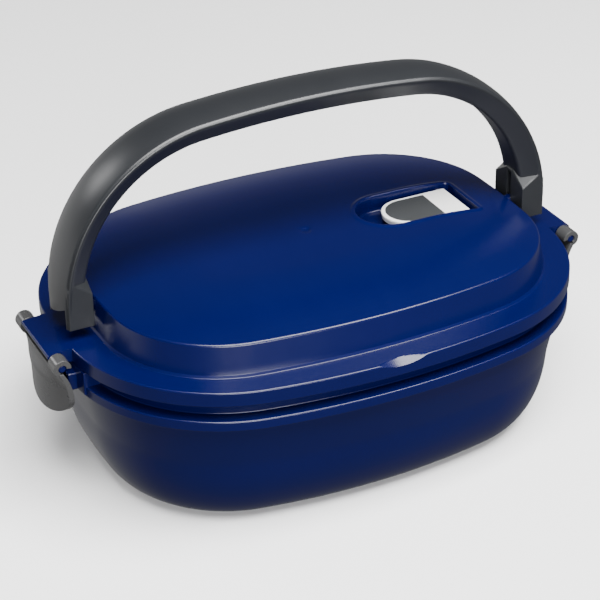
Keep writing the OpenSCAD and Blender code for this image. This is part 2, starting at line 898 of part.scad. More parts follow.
module handle_foot() {
    h = handle_half;
    w = leg_out - foot_in;
    n = 8;
    difference() {
        union() {
            translate([foot_in, h, 0])
                rotate([90, 0, 0])
                    linear_extrude(2 * h)
                        polygon([[0.6, foot_gap], [w - 2, foot_gap], [w - 1, foot_gap + 1],
                                 [w - 1, foot_top - 3], [w - 2, foot_top + 3],
                                 [w * 0.38, foot_top + 3], [0, foot_top], [0, foot_gap + 0.6]]);
            move_to([leg_out, 0, shoulder_z])
                mirror([0, 0, 1])
                    linear_extrude(shoulder_z - foot_gap - 0.4)
                        bar_section();
        }
        // Hollow inside of the foot, open below.
        translate([foot_in + foot_wall, -h + foot_wall, 0])
            cube([w - 2 * foot_wall, 2 * (h - foot_wall), foot_top - 3]);
        // Pivot hole and the slot that lets the foot spring over its pin.
        translate([foot_in - 1, 0, pivot_h])
            rotate([0, 90, 0])
                cylinder(r = pivot_r + fit, h = foot_wall + 2);
        translate([foot_in - 1, -1, 0])
            cube([foot_wall + 2, 2, foot_top - 0.5]);
        // Arched relief along the bottom of the outer wall.
        translate([leg_out - foot_wall - 1, 0, 0])
            rotate([90, 0, 90])
                linear_extrude(foot_wall + 3)
                    polygon(concat([[h - 2.8, 0], [-h + foot_wall, 0]],
                        [for (i = [0 : n]) let (y = -h + foot_wall + (2 * h - 5) * i / n)
                            [y, arch_z(y)]]));
    }
}

module handle() {
    color([0.27, 0.28, 0.29])
    translate([0, 0, lid_z]) {
        bar_arc(0, handle_h - top_r, top_r, 90 - top_a, 2 * top_a);
        bar_arc(shoulder_c, shoulder_z, shoulder_r, 0, 90 - top_a);
        bar_arc(-shoulder_c, shoulder_z, shoulder_r, 90 + top_a, 90 - top_a);
        handle_foot();
        mirror([1, 0, 0])
            handle_foot();
    }
}

// ---- latches ----

// Outer face of a latch from its pins' axis, at height z and share u of its half width.
function latch_out(z, u) =
    let (k = min(1, max(0, (pin_z - z) / 12)), s = k * k * (3 - 2 * k))
    pin_dx - 5.7 + 5.2 * exp(-pow(max(0, (pin_z - z) / 6.6), 1.35)) + 5.5 * s * (1 - u * u);

// Bottom of the tongue at share u of the half width.
function latch_low(u) = pin_z - tongue_h + 11.7 * (1 - sqrt(max(0, 1 - u * u)));

module latch_plate() {
    nu = 16;
    nz = 12;
    top = pin_z - 2.4;
    side = function (i, in)
        [for (j = [0 : nz])
            let (u = -cos(180 * i / nu), z = top + (latch_low(u) - top) * j / nz)
            [latch_out(z, u) - (in ? latch_wall : 0), u * latch_half, z - pin_z]];
    outer = [for (i = [0 : nu]) each side(i, false)];
    inner = [for (i = [0 : nu]) each side(i, true)];
    m = nz + 1;
    n = (nu + 1) * m;
    at = function (i, j) i * m + j;
    polyhedron(concat(outer, inner), concat(
        [for (i = [0 : nu - 1]) for (j = [0 : nz - 1])
            each [[at(i, j), at(i + 1, j), at(i + 1, j + 1)],
                  [at(i, j), at(i + 1, j + 1), at(i, j + 1)]]],
        [for (i = [0 : nu - 1]) for (j = [0 : nz - 1])
            each [[n + at(i, j), n + at(i + 1, j + 1), n + at(i + 1, j)],
                  [n + at(i, j), n + at(i, j + 1), n + at(i + 1, j + 1)]]],
        [for (i = [0 : nu - 1])
            each [[at(i, 0), n + at(i, 0), n + at(i + 1, 0)],
                  [at(i, 0), n + at(i + 1, 0), at(i + 1, 0)]]],
        [for (i = [0 : nu - 1])
            each [[at(i, nz), at(i + 1, nz), n + at(i + 1, nz)],
                  [at(i, nz), n + at(i + 1, nz), n + at(i, nz)]]],
        [for (j = [0 : nz - 1])
            each [[at(0, j), at(0, j + 1), n + at(0, j + 1)],
                  [at(0, j), n + at(0, j + 1), n + at(0, j)]]],
        [for (j = [0 : nz - 1])
            each [[at(nu, j), n + at(nu, j), n + at(nu, j + 1)],
                  [at(nu, j), n + at(nu, j + 1), at(nu, j + 1)]]]));
}

module latch_clip() {
    w = latch_half - ear_half - 0.4;
    rotate([90, 0, 0])
        difference() {
            cylinder(r = ring_r, h = w, center = true);
            cylinder(r = ear_pin_r + fit, h = w + 2, center = true);
            // Mouth of the clip, low on its inboard side.
            linear_extrude(w + 2, center = true)
                polygon([[0, 0], [-8, -3.4], [-8, -8], [-1.2, -8]]);
        }
}

module latch() {
    hook_z = catch_z - pin_z - 0.6;
    translate([pin_x, 0, pin_z]) {
        latch_plate();
        for (s = [-1, 1])
            translate([0, s * (latch_half + ear_half + 0.3) / 2, 0])
                latch_clip();
        // Hook that snaps under the tub's catch.
        translate([-pin_x + flange_l / 2 + 1.4, -11, hook_z - 2.4])
            cube([pin_x - flange_l / 2 - 1.4 + 1.9, 22, 2.4]);
    }
}

module latch_left() {
    color([0.3, 0.31, 0.32])
    translate([0, 0, lid_z])
        scale([-1, 1, 1])
            latch();
}

module latch_right() {
    color([0.3, 0.31, 0.32])
    translate([0, 0, lid_z])
        latch();
}

tub_shell();
heat_well();
bottom_cover();
foot_front_left();
foot_front_right();
foot_back_left();
foot_back_right();
cover_screw_left();
cover_screw_right();
cover_screw_front();
cover_screw_back();
heating_plate();
plate_gasket();
heater_block();
heater_clamp();
clamp_screw_left();
clamp_screw_right();
thermostat();
thermal_fuse();
inlet_socket();
inlet_pin_left();
inlet_pin_right();
wire_live();
wire_neutral();
heater_lead_back();
heater_lead_front();
food_tray();
lid_shell();
lid_liner();
lid_seal();
vent_flap();
vent_pad();
vent_plug();
vent_pin();
handle();
latch_left();
latch_right();
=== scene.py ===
from math import atan2, ceil, cos, exp, hypot, pi, radians, sin, sqrt, tan

import bmesh
import bpy
from mathutils import Matrix, Vector
from mathutils.geometry import delaunay_2d_cdt


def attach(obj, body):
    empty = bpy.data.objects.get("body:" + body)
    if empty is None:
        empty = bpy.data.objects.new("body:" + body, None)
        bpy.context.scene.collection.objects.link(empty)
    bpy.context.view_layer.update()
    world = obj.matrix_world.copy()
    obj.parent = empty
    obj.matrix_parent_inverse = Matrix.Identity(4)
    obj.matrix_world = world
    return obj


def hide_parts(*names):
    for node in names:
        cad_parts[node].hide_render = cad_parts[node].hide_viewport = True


bl_info = {
    "name": "Electric Lunch Box",
    "version": (1, 0, 0),
    "blender": (4, 5, 0),
    "location": "3D View > Sidebar > Lunch Box",
    "description": "Dresses the lunch box's frame with its modelled shells and finishes",
    "category": "Object",
}

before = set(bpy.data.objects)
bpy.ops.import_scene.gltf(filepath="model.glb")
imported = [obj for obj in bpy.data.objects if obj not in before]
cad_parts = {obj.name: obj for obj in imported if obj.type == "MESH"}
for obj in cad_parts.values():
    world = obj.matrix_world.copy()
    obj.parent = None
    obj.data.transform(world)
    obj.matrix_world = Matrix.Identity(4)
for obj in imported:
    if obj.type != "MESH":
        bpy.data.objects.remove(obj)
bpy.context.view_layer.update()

MM = 0.001


# Sizes and colours that a user would change

def length(name, description, default):
    """A length property; its default is in metres."""
    return bpy.props.FloatProperty(name=name, description=description, default=default,
                                   min=0.0, subtype="DISTANCE", unit="LENGTH")


def angle(name, description, default):
    """An angle property; its default is in degrees."""
    return bpy.props.FloatProperty(name=name, description=description, default=radians(default),
                                   subtype="ANGLE", unit="ROTATION")


def colour(name, description, default):
    """A colour property with linear values."""
    return bpy.props.FloatVectorProperty(name=name, description=description, default=default,
                                         size=3, min=0.0, max=1.0, subtype="COLOR")


def share(name, description, default):
    """A plain number between 0 and 1."""
    return bpy.props.FloatProperty(name=name, description=description, default=default,
                                   min=0.0, max=1.0, subtype="FACTOR")


class LunchBoxShellSizes(bpy.types.PropertyGroup):
    """Sizes of the tub and of the lid."""

    lid_plane: length("Lid plane", "Height of the lid flange's top over the table", 0.073)
    flange_l: length("Flange length", "Length of the lid's flange", 0.230)
    flange_w: length("Flange width", "Width of the lid's flange", 0.174)
    corner_r: length("Flange corner", "Radius of the flange's corners", 0.071)
    end_a: angle("Flange end angle", "Half angle of the flange's end arc", 2.07)
    side_a: angle("Flange side angle", "Angle where the flange's side arc begins", 79.26)
    dome_end_gap: length("Dome end gap", "From the flange's end to the dome", 0.016)
    dome_side_gap: length("Dome side gap", "From the flange's side to the dome", 0.015)
    dome_corner_r: length("Dome corner", "Radius of the dome's corners", 0.051)
    dome_end_a: angle("Dome end angle", "Half angle of the dome's end arc", 2.62)
    dome_side_a: angle("Dome side angle", "Angle where the dome's side arc begins", 81.14)
    dome_h: length("Dome edge height", "Height of the dome's edge over the flange", 0.0137)
    crown_h: length("Crown", "Rise of the dome's top from its edge", 0.0056)
    crown_reach: length("Crown reach", "Distance over which the dome's top rises", 0.045)
    lid_wall: length("Lid wall", "Wall of the lid", 0.0022)
    skirt_h: length("Skirt height", "Height of the lid's skirt band", 0.0067)
    groove_h: length("Groove", "Open groove between the lid and the tub's flange", 0.007)
    tub_flange_h: length("Tub flange", "Height of the tub's flange band", 0.0047)
    tub_h: length("Tub height", "From the tub's underside to the lid plane", 0.072)
    tub_wall: length("Tub wall", "Wall of the tub", 0.0024)


class LunchBoxFittingSizes(bpy.types.PropertyGroup):
    """Sizes of the handle, the latches and the vent."""

    handle_span: length("Handle span", "Between the outer faces of the handle's legs", 0.229)
    handle_h: length("Handle height", "Height of the handle over the flange", 0.0875)
    handle_w: length("Handle width", "Width of the handle, front to back", 0.0236)
    handle_t: length("Handle depth", "Depth of the handle's bar", 0.0104)
    shoulder_r: length("Shoulder radius", "Radius of the handle's shoulders", 0.072)
    top_a: angle("Handle top angle", "Half angle of the handle's top arc", 6.0)
    foot_gap: length("Foot gap", "From the handle's feet to the flange", 0.005)
    foot_top: length("Foot height", "Height of the handle's foot blocks", 0.0215)
    ear_half: length("Ear half width", "Half width of the lid's ear", 0.0162)
    latch_half: length("Latch half width", "Half width of a latch", 0.02375)
    recess_l: length("Recess length", "Length of the vent recess", 0.0525)
    recess_w: length("Recess width", "Width of the vent recess", 0.0286)
    recess_deep: length("Recess depth", "Depth of the vent recess", 0.0073)
    flap_l: length("Flap length", "Length of the vent flap", 0.037)
    flap_w: length("Flap width", "Width of the vent flap", 0.0242)


class LunchBoxColours(bpy.types.PropertyGroup):
    """Colours of the finishes."""

    blue: colour("Blue", "Blue of the tub and of the lid", (0.0001, 0.0014, 0.038))
    grey: colour("Handle grey", "Grey of the handle", (0.0115, 0.0125, 0.0145))
    latch_grey: colour("Latch grey", "Grey of the latches", (0.040, 0.040, 0.041))
    white: colour("White", "White of the vent flap", (0.80, 0.80, 0.79))
    pad_grey: colour("Pad grey", "Grey of the flap's pad", (0.030, 0.032, 0.034))
    liner: colour("Liner", "Off-white of the liner and the well", (0.66, 0.66, 0.63))
    silicone: colour("Silicone", "Milky silicone", (0.72, 0.72, 0.69))
    steel: colour("Steel", "Steel of the tray", (0.62, 0.63, 0.64))
    gloss: share("Plastic roughness", "Roughness of the blue plastic", 0.24)


def sizes():
    return bpy.context.scene.lunch_box_shell


def fittings():
    return bpy.context.scene.lunch_box_fittings


def colours():
    return bpy.context.scene.lunch_box_colours


def mm(value):
    """A property in metres as millimetres, the unit of the shapes below."""
    return value / MM


# Shader maths

class Wire:
    """A value on a socket; arithmetic on it adds Math nodes."""

    def __init__(self, sheet, socket):
        self.sheet = sheet
        self.socket = socket

    def _math(self, operation, *values):
        return self.sheet.node("ShaderNodeMath", {"operation": operation}, list(values))[0]

    def __add__(self, other):
        return self._math("ADD", self, other)

    def __radd__(self, other):
        return self._math("ADD", other, self)

    def __sub__(self, other):
        return self._math("SUBTRACT", self, other)

    def __rsub__(self, other):
        return self._math("SUBTRACT", other, self)

    def __mul__(self, other):
        return self._math("MULTIPLY", self, other)

    def __rmul__(self, other):
        return self._math("MULTIPLY", other, self)

    def clamp(self):
        return self.sheet.node("ShaderNodeClamp", {}, {"Value": self})[0]


class Sheet:
    """A node tree; every node is added by its one method."""

    def __init__(self, tree):
        self.tree = tree

    def node(self, kind, settings, values):
        """Adds a node: its settings first, then its sockets' values or links."""
        node = self.tree.nodes.new(kind)
        for key, value in settings.items():
            setattr(node, key, value)
        pairs = values.items() if isinstance(values, dict) else enumerate(values)
        for key, value in pairs:
            if isinstance(value, Wire):
                self.tree.links.new(value.socket, node.inputs[key])
            else:
                node.inputs[key].default_value = value
        return [Wire(self, socket) for socket in node.outputs]


class Finish(Sheet):
    """One material and the nodes that make it."""

    def __init__(self, name, **constants):
        self.material = bpy.data.materials.new(name)
        self.material.use_nodes = True
        super().__init__(self.material.node_tree)
        self.shader = self.tree.nodes["Principled BSDF"]
        for socket, value in constants.items():
            self.shader.inputs[socket.replace("_", " ")].default_value = value
        self.place = self.node("ShaderNodeTexCoord", {}, {})[3]

    def noise(self, scale, detail=3.0, roughness=0.5, place=None):
        """Noise between 0 and 1; the scale is in cycles a metre."""
        return self.node("ShaderNodeTexNoise", {},
                         {"Vector": place or self.place, "Scale": scale, "Detail": detail,
                          "Roughness": roughness})[0]

    def stretched(self, x, y, z):
        """The place with each direction scaled, for drawn or brushed marks."""
        return self.node("ShaderNodeMapping", {}, {"Vector": self.place, "Scale": (x, y, z)})[0]

    def mix(self, factor, first, second):
        """A blend of two colours."""
        return self.node("ShaderNodeMix", {"data_type": "RGBA"},
                         {0: factor, 6: (*first, 1.0), 7: (*second, 1.0)})[2]

    def feed(self, socket, value):
        self.tree.links.new(value.socket, self.shader.inputs[socket])

    def bump(self, height, distance):
        """Bump whose depth is in metres."""
        self.feed("Normal", self.node("ShaderNodeBump", {},
                                      {"Strength": 1.0, "Distance": distance,
                                       "Height": height})[0])


def shade(colour_value, factor):
    return tuple(min(1.0, c * factor) for c in colour_value)


def moulded(name, base, roughness, grain=0.000010, specular=0.5, scuff=0.06):
    """Moulded plastic: a fine skin, slow tone changes and faint handling marks."""
    finish = Finish(name, Specular_IOR_Level=specular)
    slow = finish.noise(18.0, 2.0)
    skin = finish.noise(2600.0, 2.0, 0.6)
    marks = finish.noise(90.0, 6.0, 0.65, finish.stretched(1.0, 0.35, 1.0))
    tone = (slow * 0.6 + marks * 0.4).clamp()
    finish.feed("Base Color", finish.mix(tone, shade(base, 0.90), shade(base, 1.10)))
    finish.feed("Roughness", (roughness + (marks - 0.5) * scuff + (slow - 0.5) * 0.05).clamp())
    finish.bump(skin * 0.8 + slow * 0.2, grain)
    return finish.material


def brushed(name, base, roughness, along=(1.0, 40.0, 40.0)):
    """Metal with fine marks drawn along one direction."""
    finish = Finish(name, Metallic=1.0)
    lines = finish.noise(60.0, 4.0, 0.6, finish.stretched(*along))
    cloud = finish.noise(25.0, 3.0)
    finish.feed("Base Color", finish.mix(lines, shade(base, 0.93), shade(base, 1.04)))
    finish.feed("Roughness", (roughness + (lines - 0.5) * 0.08 + (cloud - 0.5) * 0.06).clamp())
    finish.bump(lines, 0.000002)
    return finish.material


def turned(name, base, roughness):
    """Metal with fine rings round the vertical axis, as a lathe leaves."""
    finish = Finish(name, Metallic=1.0)
    rings = finish.node("ShaderNodeTexWave", {"wave_type": "RINGS", "rings_direction": "Z"},
                        {"Vector": finish.place, "Scale": 180.0, "Distortion": 0.6,
                         "Detail": 1.0})[1]
    cloud = finish.noise(30.0, 4.0)
    finish.feed("Base Color", finish.mix(cloud, shade(base, 0.88), shade(base, 1.06)))
    finish.feed("Roughness", (roughness + (rings - 0.5) * 0.12 + (cloud - 0.5) * 0.12).clamp())
    finish.bump(rings, 0.000015)
    return finish.material


def rubbery(name, base, roughness, milky=0.0):
    """Silicone or rubber: matt, slightly dusty."""
    finish = Finish(name, Subsurface_Weight=milky, Subsurface_Radius=(0.004, 0.004, 0.004),
                    Subsurface_Scale=0.5, Specular_IOR_Level=0.35)
    dust = finish.noise(140.0, 5.0, 0.7)
    skin = finish.noise(1800.0, 2.0)
    finish.feed("Base Color", finish.mix(dust, shade(base, 0.90), shade(base, 1.12)))
    finish.feed("Roughness", (roughness + (dust - 0.5) * 0.16).clamp())
    finish.bump(skin, 0.000020)
    return finish.material


def sleeved(name, base):
    """Woven or ribbed insulation on a wire or a lead."""
    finish = Finish(name, Roughness=0.6)
    weave = finish.noise(1500.0, 3.0, 0.6)
    finish.feed("Base Color", finish.mix(weave, shade(base, 0.75), shade(base, 1.15)))
    finish.feed("Roughness", (0.55 + weave * 0.2).clamp())
    finish.bump(weave, 0.00006)
    return finish.material


FINISHES = {}


def finish_named(name):
    """Makes each finish once, when it is first asked for."""
    c = colours()
    if name not in FINISHES:
        make = {
            "blue": lambda: moulded("Blue plastic", c.blue, c.gloss, specular=0.42),
            "grey": lambda: moulded("Handle plastic", c.grey, 0.36, 0.000016, scuff=0.10),
            "latch": lambda: moulded("Latch plastic", c.latch_grey, 0.27, 0.000012),
            "white": lambda: moulded("White plastic", c.white, 0.32),
            "pad": lambda: moulded("Pad plastic", c.pad_grey, 0.45, 0.000020),
            "liner": lambda: moulded("Liner plastic", c.liner, 0.42, 0.000012),
            "black": lambda: moulded("Black plastic", (0.016, 0.016, 0.018), 0.45, 0.00003),
            "silicone": lambda: rubbery("Silicone", c.silicone, 0.55, 0.3),
            "rubber": lambda: rubbery("Foot rubber", (0.020, 0.020, 0.021), 0.75),
            "gasket": lambda: rubbery("Red silicone", (0.36, 0.045, 0.020), 0.6),
            "steel": lambda: brushed("Tray steel", c.steel, 0.26),
            "zinc": lambda: brushed("Plated steel", (0.56, 0.56, 0.58), 0.34),
            "brass": lambda: brushed("Pin brass", (0.76, 0.58, 0.25), 0.25, (40.0, 1.0, 40.0)),
            "alloy": lambda: turned("Plate alloy", (0.70, 0.71, 0.72), 0.33),
            "ceramic": lambda: rubbery("Heater ceramic", (0.66, 0.64, 0.56), 0.7),
            "bakelite": lambda: moulded("Thermostat body", (0.060, 0.038, 0.028), 0.5, 0.00003),
            "red_wire": lambda: sleeved("Red insulation", (0.42, 0.020, 0.015)),
            "blue_wire": lambda: sleeved("Blue insulation", (0.015, 0.050, 0.33)),
            "lead": lambda: sleeved("Glass sleeve", (0.62, 0.61, 0.55)),
        }
        FINISHES[name] = make[name]()
    return FINISHES[name]


def dress(node, name):
    """Gives a CAD node, whose shape is right, its finish."""
    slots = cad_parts[node].data.materials
    slots.clear()
    slots.append(finish_named(name))


# Outlines: lists of (point, outward normal), in millimetres

END_STEPS = 10
CORNER_STEPS = 30
SIDE_STEPS = 44


def oval_arcs(oval):
    """The eight tangent arcs of an oval: centre x and y, radius, first angle and sweep."""
    half_l, half_w, r, pe, ps = oval
    a = half_l - r
    b = half_w - r
    det = (1 - cos(pe)) * (1 - sin(ps)) - cos(ps) * sin(pe)
    p = (a * (1 - sin(ps)) - b * cos(ps)) / det
    q = (b * (1 - cos(pe)) - a * sin(pe)) / det
    ex, sy, cx, cy, w = a - p, b - q, q * cos(ps), p * sin(pe), ps - pe
    return [(ex, 0, p + r, -pe, 2 * pe), (cx, cy, r, pe, w), (0, sy, q + r, ps, pi - 2 * ps),
            (-cx, cy, r, pi - ps, w), (-ex, 0, p + r, pi - pe, 2 * pe),
            (-cx, -cy, r, pi + pe, w), (0, -sy, q + r, pi + ps, pi - 2 * ps),
            (cx, -cy, r, 2 * pi - ps, w)]


def oval_outline(oval):
    """The oval's outline, with its points closest together amid the long sides."""
    steps = [END_STEPS, CORNER_STEPS, SIDE_STEPS, CORNER_STEPS] * 2
    out = []
    for (cx, cy, r, first, sweep), n in zip(oval_arcs(oval), steps):
        for i in range(n):
            u = 2.0 * i / n - 1.0
            if n == SIDE_STEPS:
                u *= 0.35 + 0.65 * abs(u)
            t = first + sweep * (u + 1.0) / 2
            normal = Vector((cos(t), sin(t)))
            out.append((Vector((cx, cy)) + normal * r, normal))
    return out


def flange_oval():
    s = sizes()
    return (mm(s.flange_l) / 2, mm(s.flange_w) / 2, mm(s.corner_r), s.end_a, s.side_a)


def dome_oval():
    s = sizes()
    return (mm(s.flange_l) / 2 - mm(s.dome_end_gap), mm(s.flange_w) / 2 - mm(s.dome_side_gap),
            mm(s.dome_corner_r), s.dome_end_a, s.dome_side_a)


def arc(x, y, r, first, sweep, steps, closed=True):
    """Points of an arc, with its last one if it is closed."""
    turns = [first + sweep * i / steps for i in range(steps + closed)]
    return [(Vector((x + r * cos(t), y + r * sin(t))), Vector((cos(t), sin(t)))) for t in turns]


def oval_inset(oval, point):
    """How far a point lies inside an oval, near its edge."""
    best = 1e9
    for cx, cy, r, first, sweep in oval_arcs(oval):
        x, y = point[0] - cx, point[1] - cy
        turn = (atan2(y, x) - first) % (2 * pi)
        if turn <= sweep + 1e-9 or turn >= 2 * pi - 1e-9:
            best = min(best, r - hypot(x, y))
    return best if best < 1e8 else mm(sizes().crown_reach) + 1.0


def line(start, end, steps):
    """Points between two ends, with the normal on the right of the way."""
    start, end = Vector(start), Vector(end)
    way = (end - start).normalized()
    return [(start + (end - start) * i / steps, Vector((way.y, -way.x)))
            for i in range(1, steps)]


def d_outline(x0, x1, half, corner):
    """A flat-ended outline whose left end is a half circle."""
    left, right, side = x0 + half, x1 - corner, half - corner
    return (arc(left, 0.0, half, pi / 2, pi, 40) + line((left, -half), (right, -half), 14)
            + arc(right, -side, corner, -pi / 2, pi / 2, 8) + line((x1, -side), (x1, side), 8)
            + arc(right, side, corner, 0.0, pi / 2, 8) + line((right, half), (left, half), 14))


def circle_outline(x, y, r, steps=48):
    return arc(x, y, r, 0.0, 2 * pi, steps, closed=False)


def across(x, z, profile, steps=40):
    """Loops round an axis along Y; each profile item is (y, radius)."""
    return [[Vector((p.x, y, p.y)) for p, _ in circle_outline(x, z, r, steps)]
            for y, r in profile]


def rounded(points, closed=False, steps=5):
    """A profile of (x, z) or (x, z, radius) with each given radius turned into an arc."""
    out = []
    count = len(points)
    for i, point in enumerate(points):
        corner = Vector(point[:2])
        radius = point[2] if len(point) > 2 else 0.0
        inside = closed or 0 < i < count - 1
        if radius <= 0 or not inside:
            out.append(corner)
            continue
        a = (Vector(points[i - 1][:2]) - corner).normalized()
        b = (Vector(points[(i + 1) % count][:2]) - corner).normalized()
        half = a.angle(b) / 2
        reach = radius / tan(half)
        centre = corner + (a + b).normalized() * (radius / sin(half))
        start = corner + a * reach - centre
        end = corner + b * reach - centre
        turn = (atan2(end.y, end.x) - atan2(start.y, start.x) + pi) % (2 * pi) - pi
        for k in range(steps + 1):
            out.append(centre + Matrix.Rotation(turn * k / steps, 2) @ start)
    return out


def band(outline, profile, lift=0.0):
    """Loops of 3-D points: each profile point is (inset, z)."""
    return [[Vector((*(p - n * q[0]), q[1] + lift)) for p, n in outline] for q in profile]


# Meshes

class Maker:
    """Collects rings and faces in millimetres and turns them into an object."""

    def __init__(self):
        self.bm = bmesh.new()

    def ring(self, points):
        return [self.bm.verts.new(Vector(p) * MM) for p in points]

    def face(self, verts):
        try:
            return self.bm.faces.new(verts)
        except ValueError:
            return None

    def bridge(self, a, b, closed=True):
        n = len(a)
        for i in range(n if closed else n - 1):
            j = (i + 1) % n
            self.face((a[i], a[j], b[j], b[i]))

    def loft(self, loops, closed_profile=False, caps=False):
        """Skins loops in their order, and closes the profile or the ends."""
        rings = [self.ring(loop) for loop in loops]
        for a, b in zip(rings, rings[1:]):
            self.bridge(a, b)
        if closed_profile:
            self.bridge(rings[-1], rings[0])
        if caps:
            self.face(list(reversed(rings[0])))
            self.face(rings[-1])
        return rings

    def box(self, low, high):
        low, high = Vector(low) * MM, Vector(high) * MM
        for v in bmesh.ops.create_cube(self.bm, size=1.0)["verts"]:
            v.co = Vector(l + (h - l) * (c + 0.5) for l, h, c in zip(low, high, v.co))

    def hull(self, points):
        bmesh.ops.convex_hull(self.bm, input=self.ring(points))

    def prism(self, points, move):
        """A closed prism from a polygon of 3-D points and a vector."""
        self.loft([points, [Vector(p) + Vector(move) for p in points]], caps=True)

    def tube(self, start, end, r0, r1=None, steps=48):
        """A closed cylinder or cone between two points."""
        start, end = Vector(start), Vector(end)
        r1 = r0 if r1 is None else r1
        turn = (end - start).to_track_quat("Z", "Y").to_matrix()
        loops = [[p + turn @ Vector((r * cos(2 * pi * i / steps), r * sin(2 * pi * i / steps), 0))
                  for i in range(steps)] for p, r in ((start, r0), (end, r1))]
        self.loft(loops, caps=True)

    def fill(self, outer, holes, grid, height, spare=1.2):
        """Fills between rings with an even net of points at a given height."""
        rings = [outer] + holes
        flat, edges, owners = [], [], []
        for ring in rings:
            first = len(flat)
            for k, v in enumerate(ring):
                flat.append(Vector((v.co.x / MM, v.co.y / MM)))
                owners.append(v)
                edges.append((first + k, first + (k + 1) % len(ring)))
        polygons = [[(v.co.x / MM, v.co.y / MM) for v in ring] for ring in rings]
        for p in grid:
            if not inside(p, polygons[0]) or any(inside(p, q) for q in polygons[1:]):
                continue
            if min(near(p, q) for q in polygons) < spare:
                continue
            flat.append(Vector(p))
            owners.append(None)
        verts, _, faces, origin = delaunay_2d_cdt(flat, edges, [], 0, 1e-6)[:4]
        made = []
        for co, sources in zip(verts, origin):
            owner = owners[sources[0]] if sources else None
            if owner is None:
                owner = self.bm.verts.new(Vector((co.x, co.y, height(co.x, co.y))) * MM)
            made.append(owner)
        for f in faces:
            mid = sum((Vector(verts[i]) for i in f), Vector((0.0, 0.0))) / len(f)
            if inside(mid, polygons[0]) and not any(inside(mid, q) for q in polygons[1:]):
                self.face([made[i] for i in f])

    def piece(self, name, finish):
        """The finished object, with its faces turned outward."""
        bmesh.ops.recalc_face_normals(self.bm, faces=self.bm.faces)
        mesh = bpy.data.meshes.new(name)
        self.bm.to_mesh(mesh)
        self.bm.free()
        piece = bpy.data.objects.new(name, mesh)
        bpy.context.scene.collection.objects.link(piece)
        if finish:
            mesh.materials.append(finish_named(finish))
        return piece


def inside(point, polygon):
    """Whether a point lies within a polygon."""
    x, y = point[0], point[1]
    hit = False
    for (x0, y0), (x1, y1) in zip(polygon, polygon[1:] + polygon[:1]):
        if (y0 > y) != (y1 > y) and x < (x1 - x0) * (y - y0) / (y1 - y0) + x0:
            hit = not hit
    return hit


def near(point, polygon):
    """Distance from a point to the nearest corner of a polygon."""
    return min(hypot(point[0] - x, point[1] - y) for x, y in polygon)


def net(x0, x1, y0, y1, step):
    """Points of an even triangular net."""
    rows = int(ceil((y1 - y0) / (step * 0.866)))
    columns = int(ceil((x1 - x0) / step))
    return [(x0 + (i + 0.5 * (j % 2)) * step, y0 + j * step * 0.866)
            for j in range(rows + 1) for i in range(columns + 1)]


def baked(piece):
    """Applies the modifiers of a piece to its mesh."""
    graph = bpy.context.evaluated_depsgraph_get()
    mesh = bpy.data.meshes.new_from_object(piece.evaluated_get(graph))
    piece.modifiers.clear()
    piece.data = mesh
    return piece


def cut(piece, cutters, operation="DIFFERENCE"):
    """Cuts or joins other pieces and removes them."""
    for cutter in cutters:
        modifier = piece.modifiers.new("Cut", "BOOLEAN")
        modifier.operation = operation
        modifier.solver = "EXACT"
        modifier.object = cutter
    bpy.context.view_layer.update()
    baked(piece)
    for cutter in cutters:
        bpy.data.objects.remove(cutter)


def soften(piece, width, limit=50.0, segments=3):
    """Breaks the sharp edges of a piece."""
    modifier = piece.modifiers.new("Soften", "BEVEL")
    modifier.width = width * MM
    modifier.segments = segments
    modifier.limit_method = "ANGLE"
    modifier.angle_limit = radians(limit)
    modifier.use_clamp_overlap = True
    return baked(piece)


def smooth(piece, corner=32.0, weighted=True):
    """Smooth shading that keeps corners over an angle."""
    for face in piece.data.polygons:
        face.use_smooth = True
    piece.data.set_sharp_from_angle(angle=radians(corner))
    if weighted:
        modifier = piece.modifiers.new("Even normals", "WEIGHTED_NORMAL")
        modifier.keep_sharp = True
        modifier.weight = 80
    return piece


def place(piece, body, slot, *nodes):
    """Puts a finished piece on its body in place of CAD nodes."""
    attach(piece, body)
    if nodes:
        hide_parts(*nodes)


# The lid's form

def crown(x, y):
    """Height of the dome's top over the lid plane."""
    s = sizes()
    inset = max(0.0, oval_inset(dome_oval(), (x, y)))
    rest = max(0.0, 1.0 - inset / mm(s.crown_reach))
    return mm(s.dome_h) + mm(s.crown_h) * (1.0 - rest ** 1.8)


def recess():
    """Outline of the vent recess and its floor's height over the lid plane."""
    s, f = sizes(), fittings()
    x1 = mm(s.flange_l) / 2 - 36.5
    outline = d_outline(x1 - mm(f.recess_l), x1, mm(f.recess_w) / 2, 2.2)
    return outline, mm(s.dome_h) + mm(s.crown_h) - mm(f.recess_deep)


def flap_place():
    """The flap's ends, its top and its pin."""
    s, f = sizes(), fittings()
    x1 = mm(s.flange_l) / 2 - 39.4
    top = mm(s.dome_h) + mm(s.crown_h) - 2.7
    return x1 - mm(f.flap_l), x1, top, x1 - 2.0, top - 1.9


def steam_hole():
    """Outline of the steam hole in the recess's floor and in the liner."""
    return circle_outline(flap_place()[0] + 19.0, 0, 3.2)


# The moulding gate's dimple at the middle of the dome, and the steam hole's raised seat
GATE_RINGS = (0.8, 1.4, 1.9, 2.3, 2.7, 3.6)
GATE_DEEP = 0.8
GATE_R = 2.2
SEAT_WALL = 1.6
SEAT_H = 0.5
# Where the latches' pins and the handle's pivots lie
EAR_REACH = 10.2
PIN_DX = 3.6
PIN_Z = -4.1
PIVOT_Z = 9.5
# The finger scoop is pressed by a ball: its place from the flange's front, and its radius
SCOOP_AT = (1.0, -20.3, 29.3)
SCOOP_R = 37.6


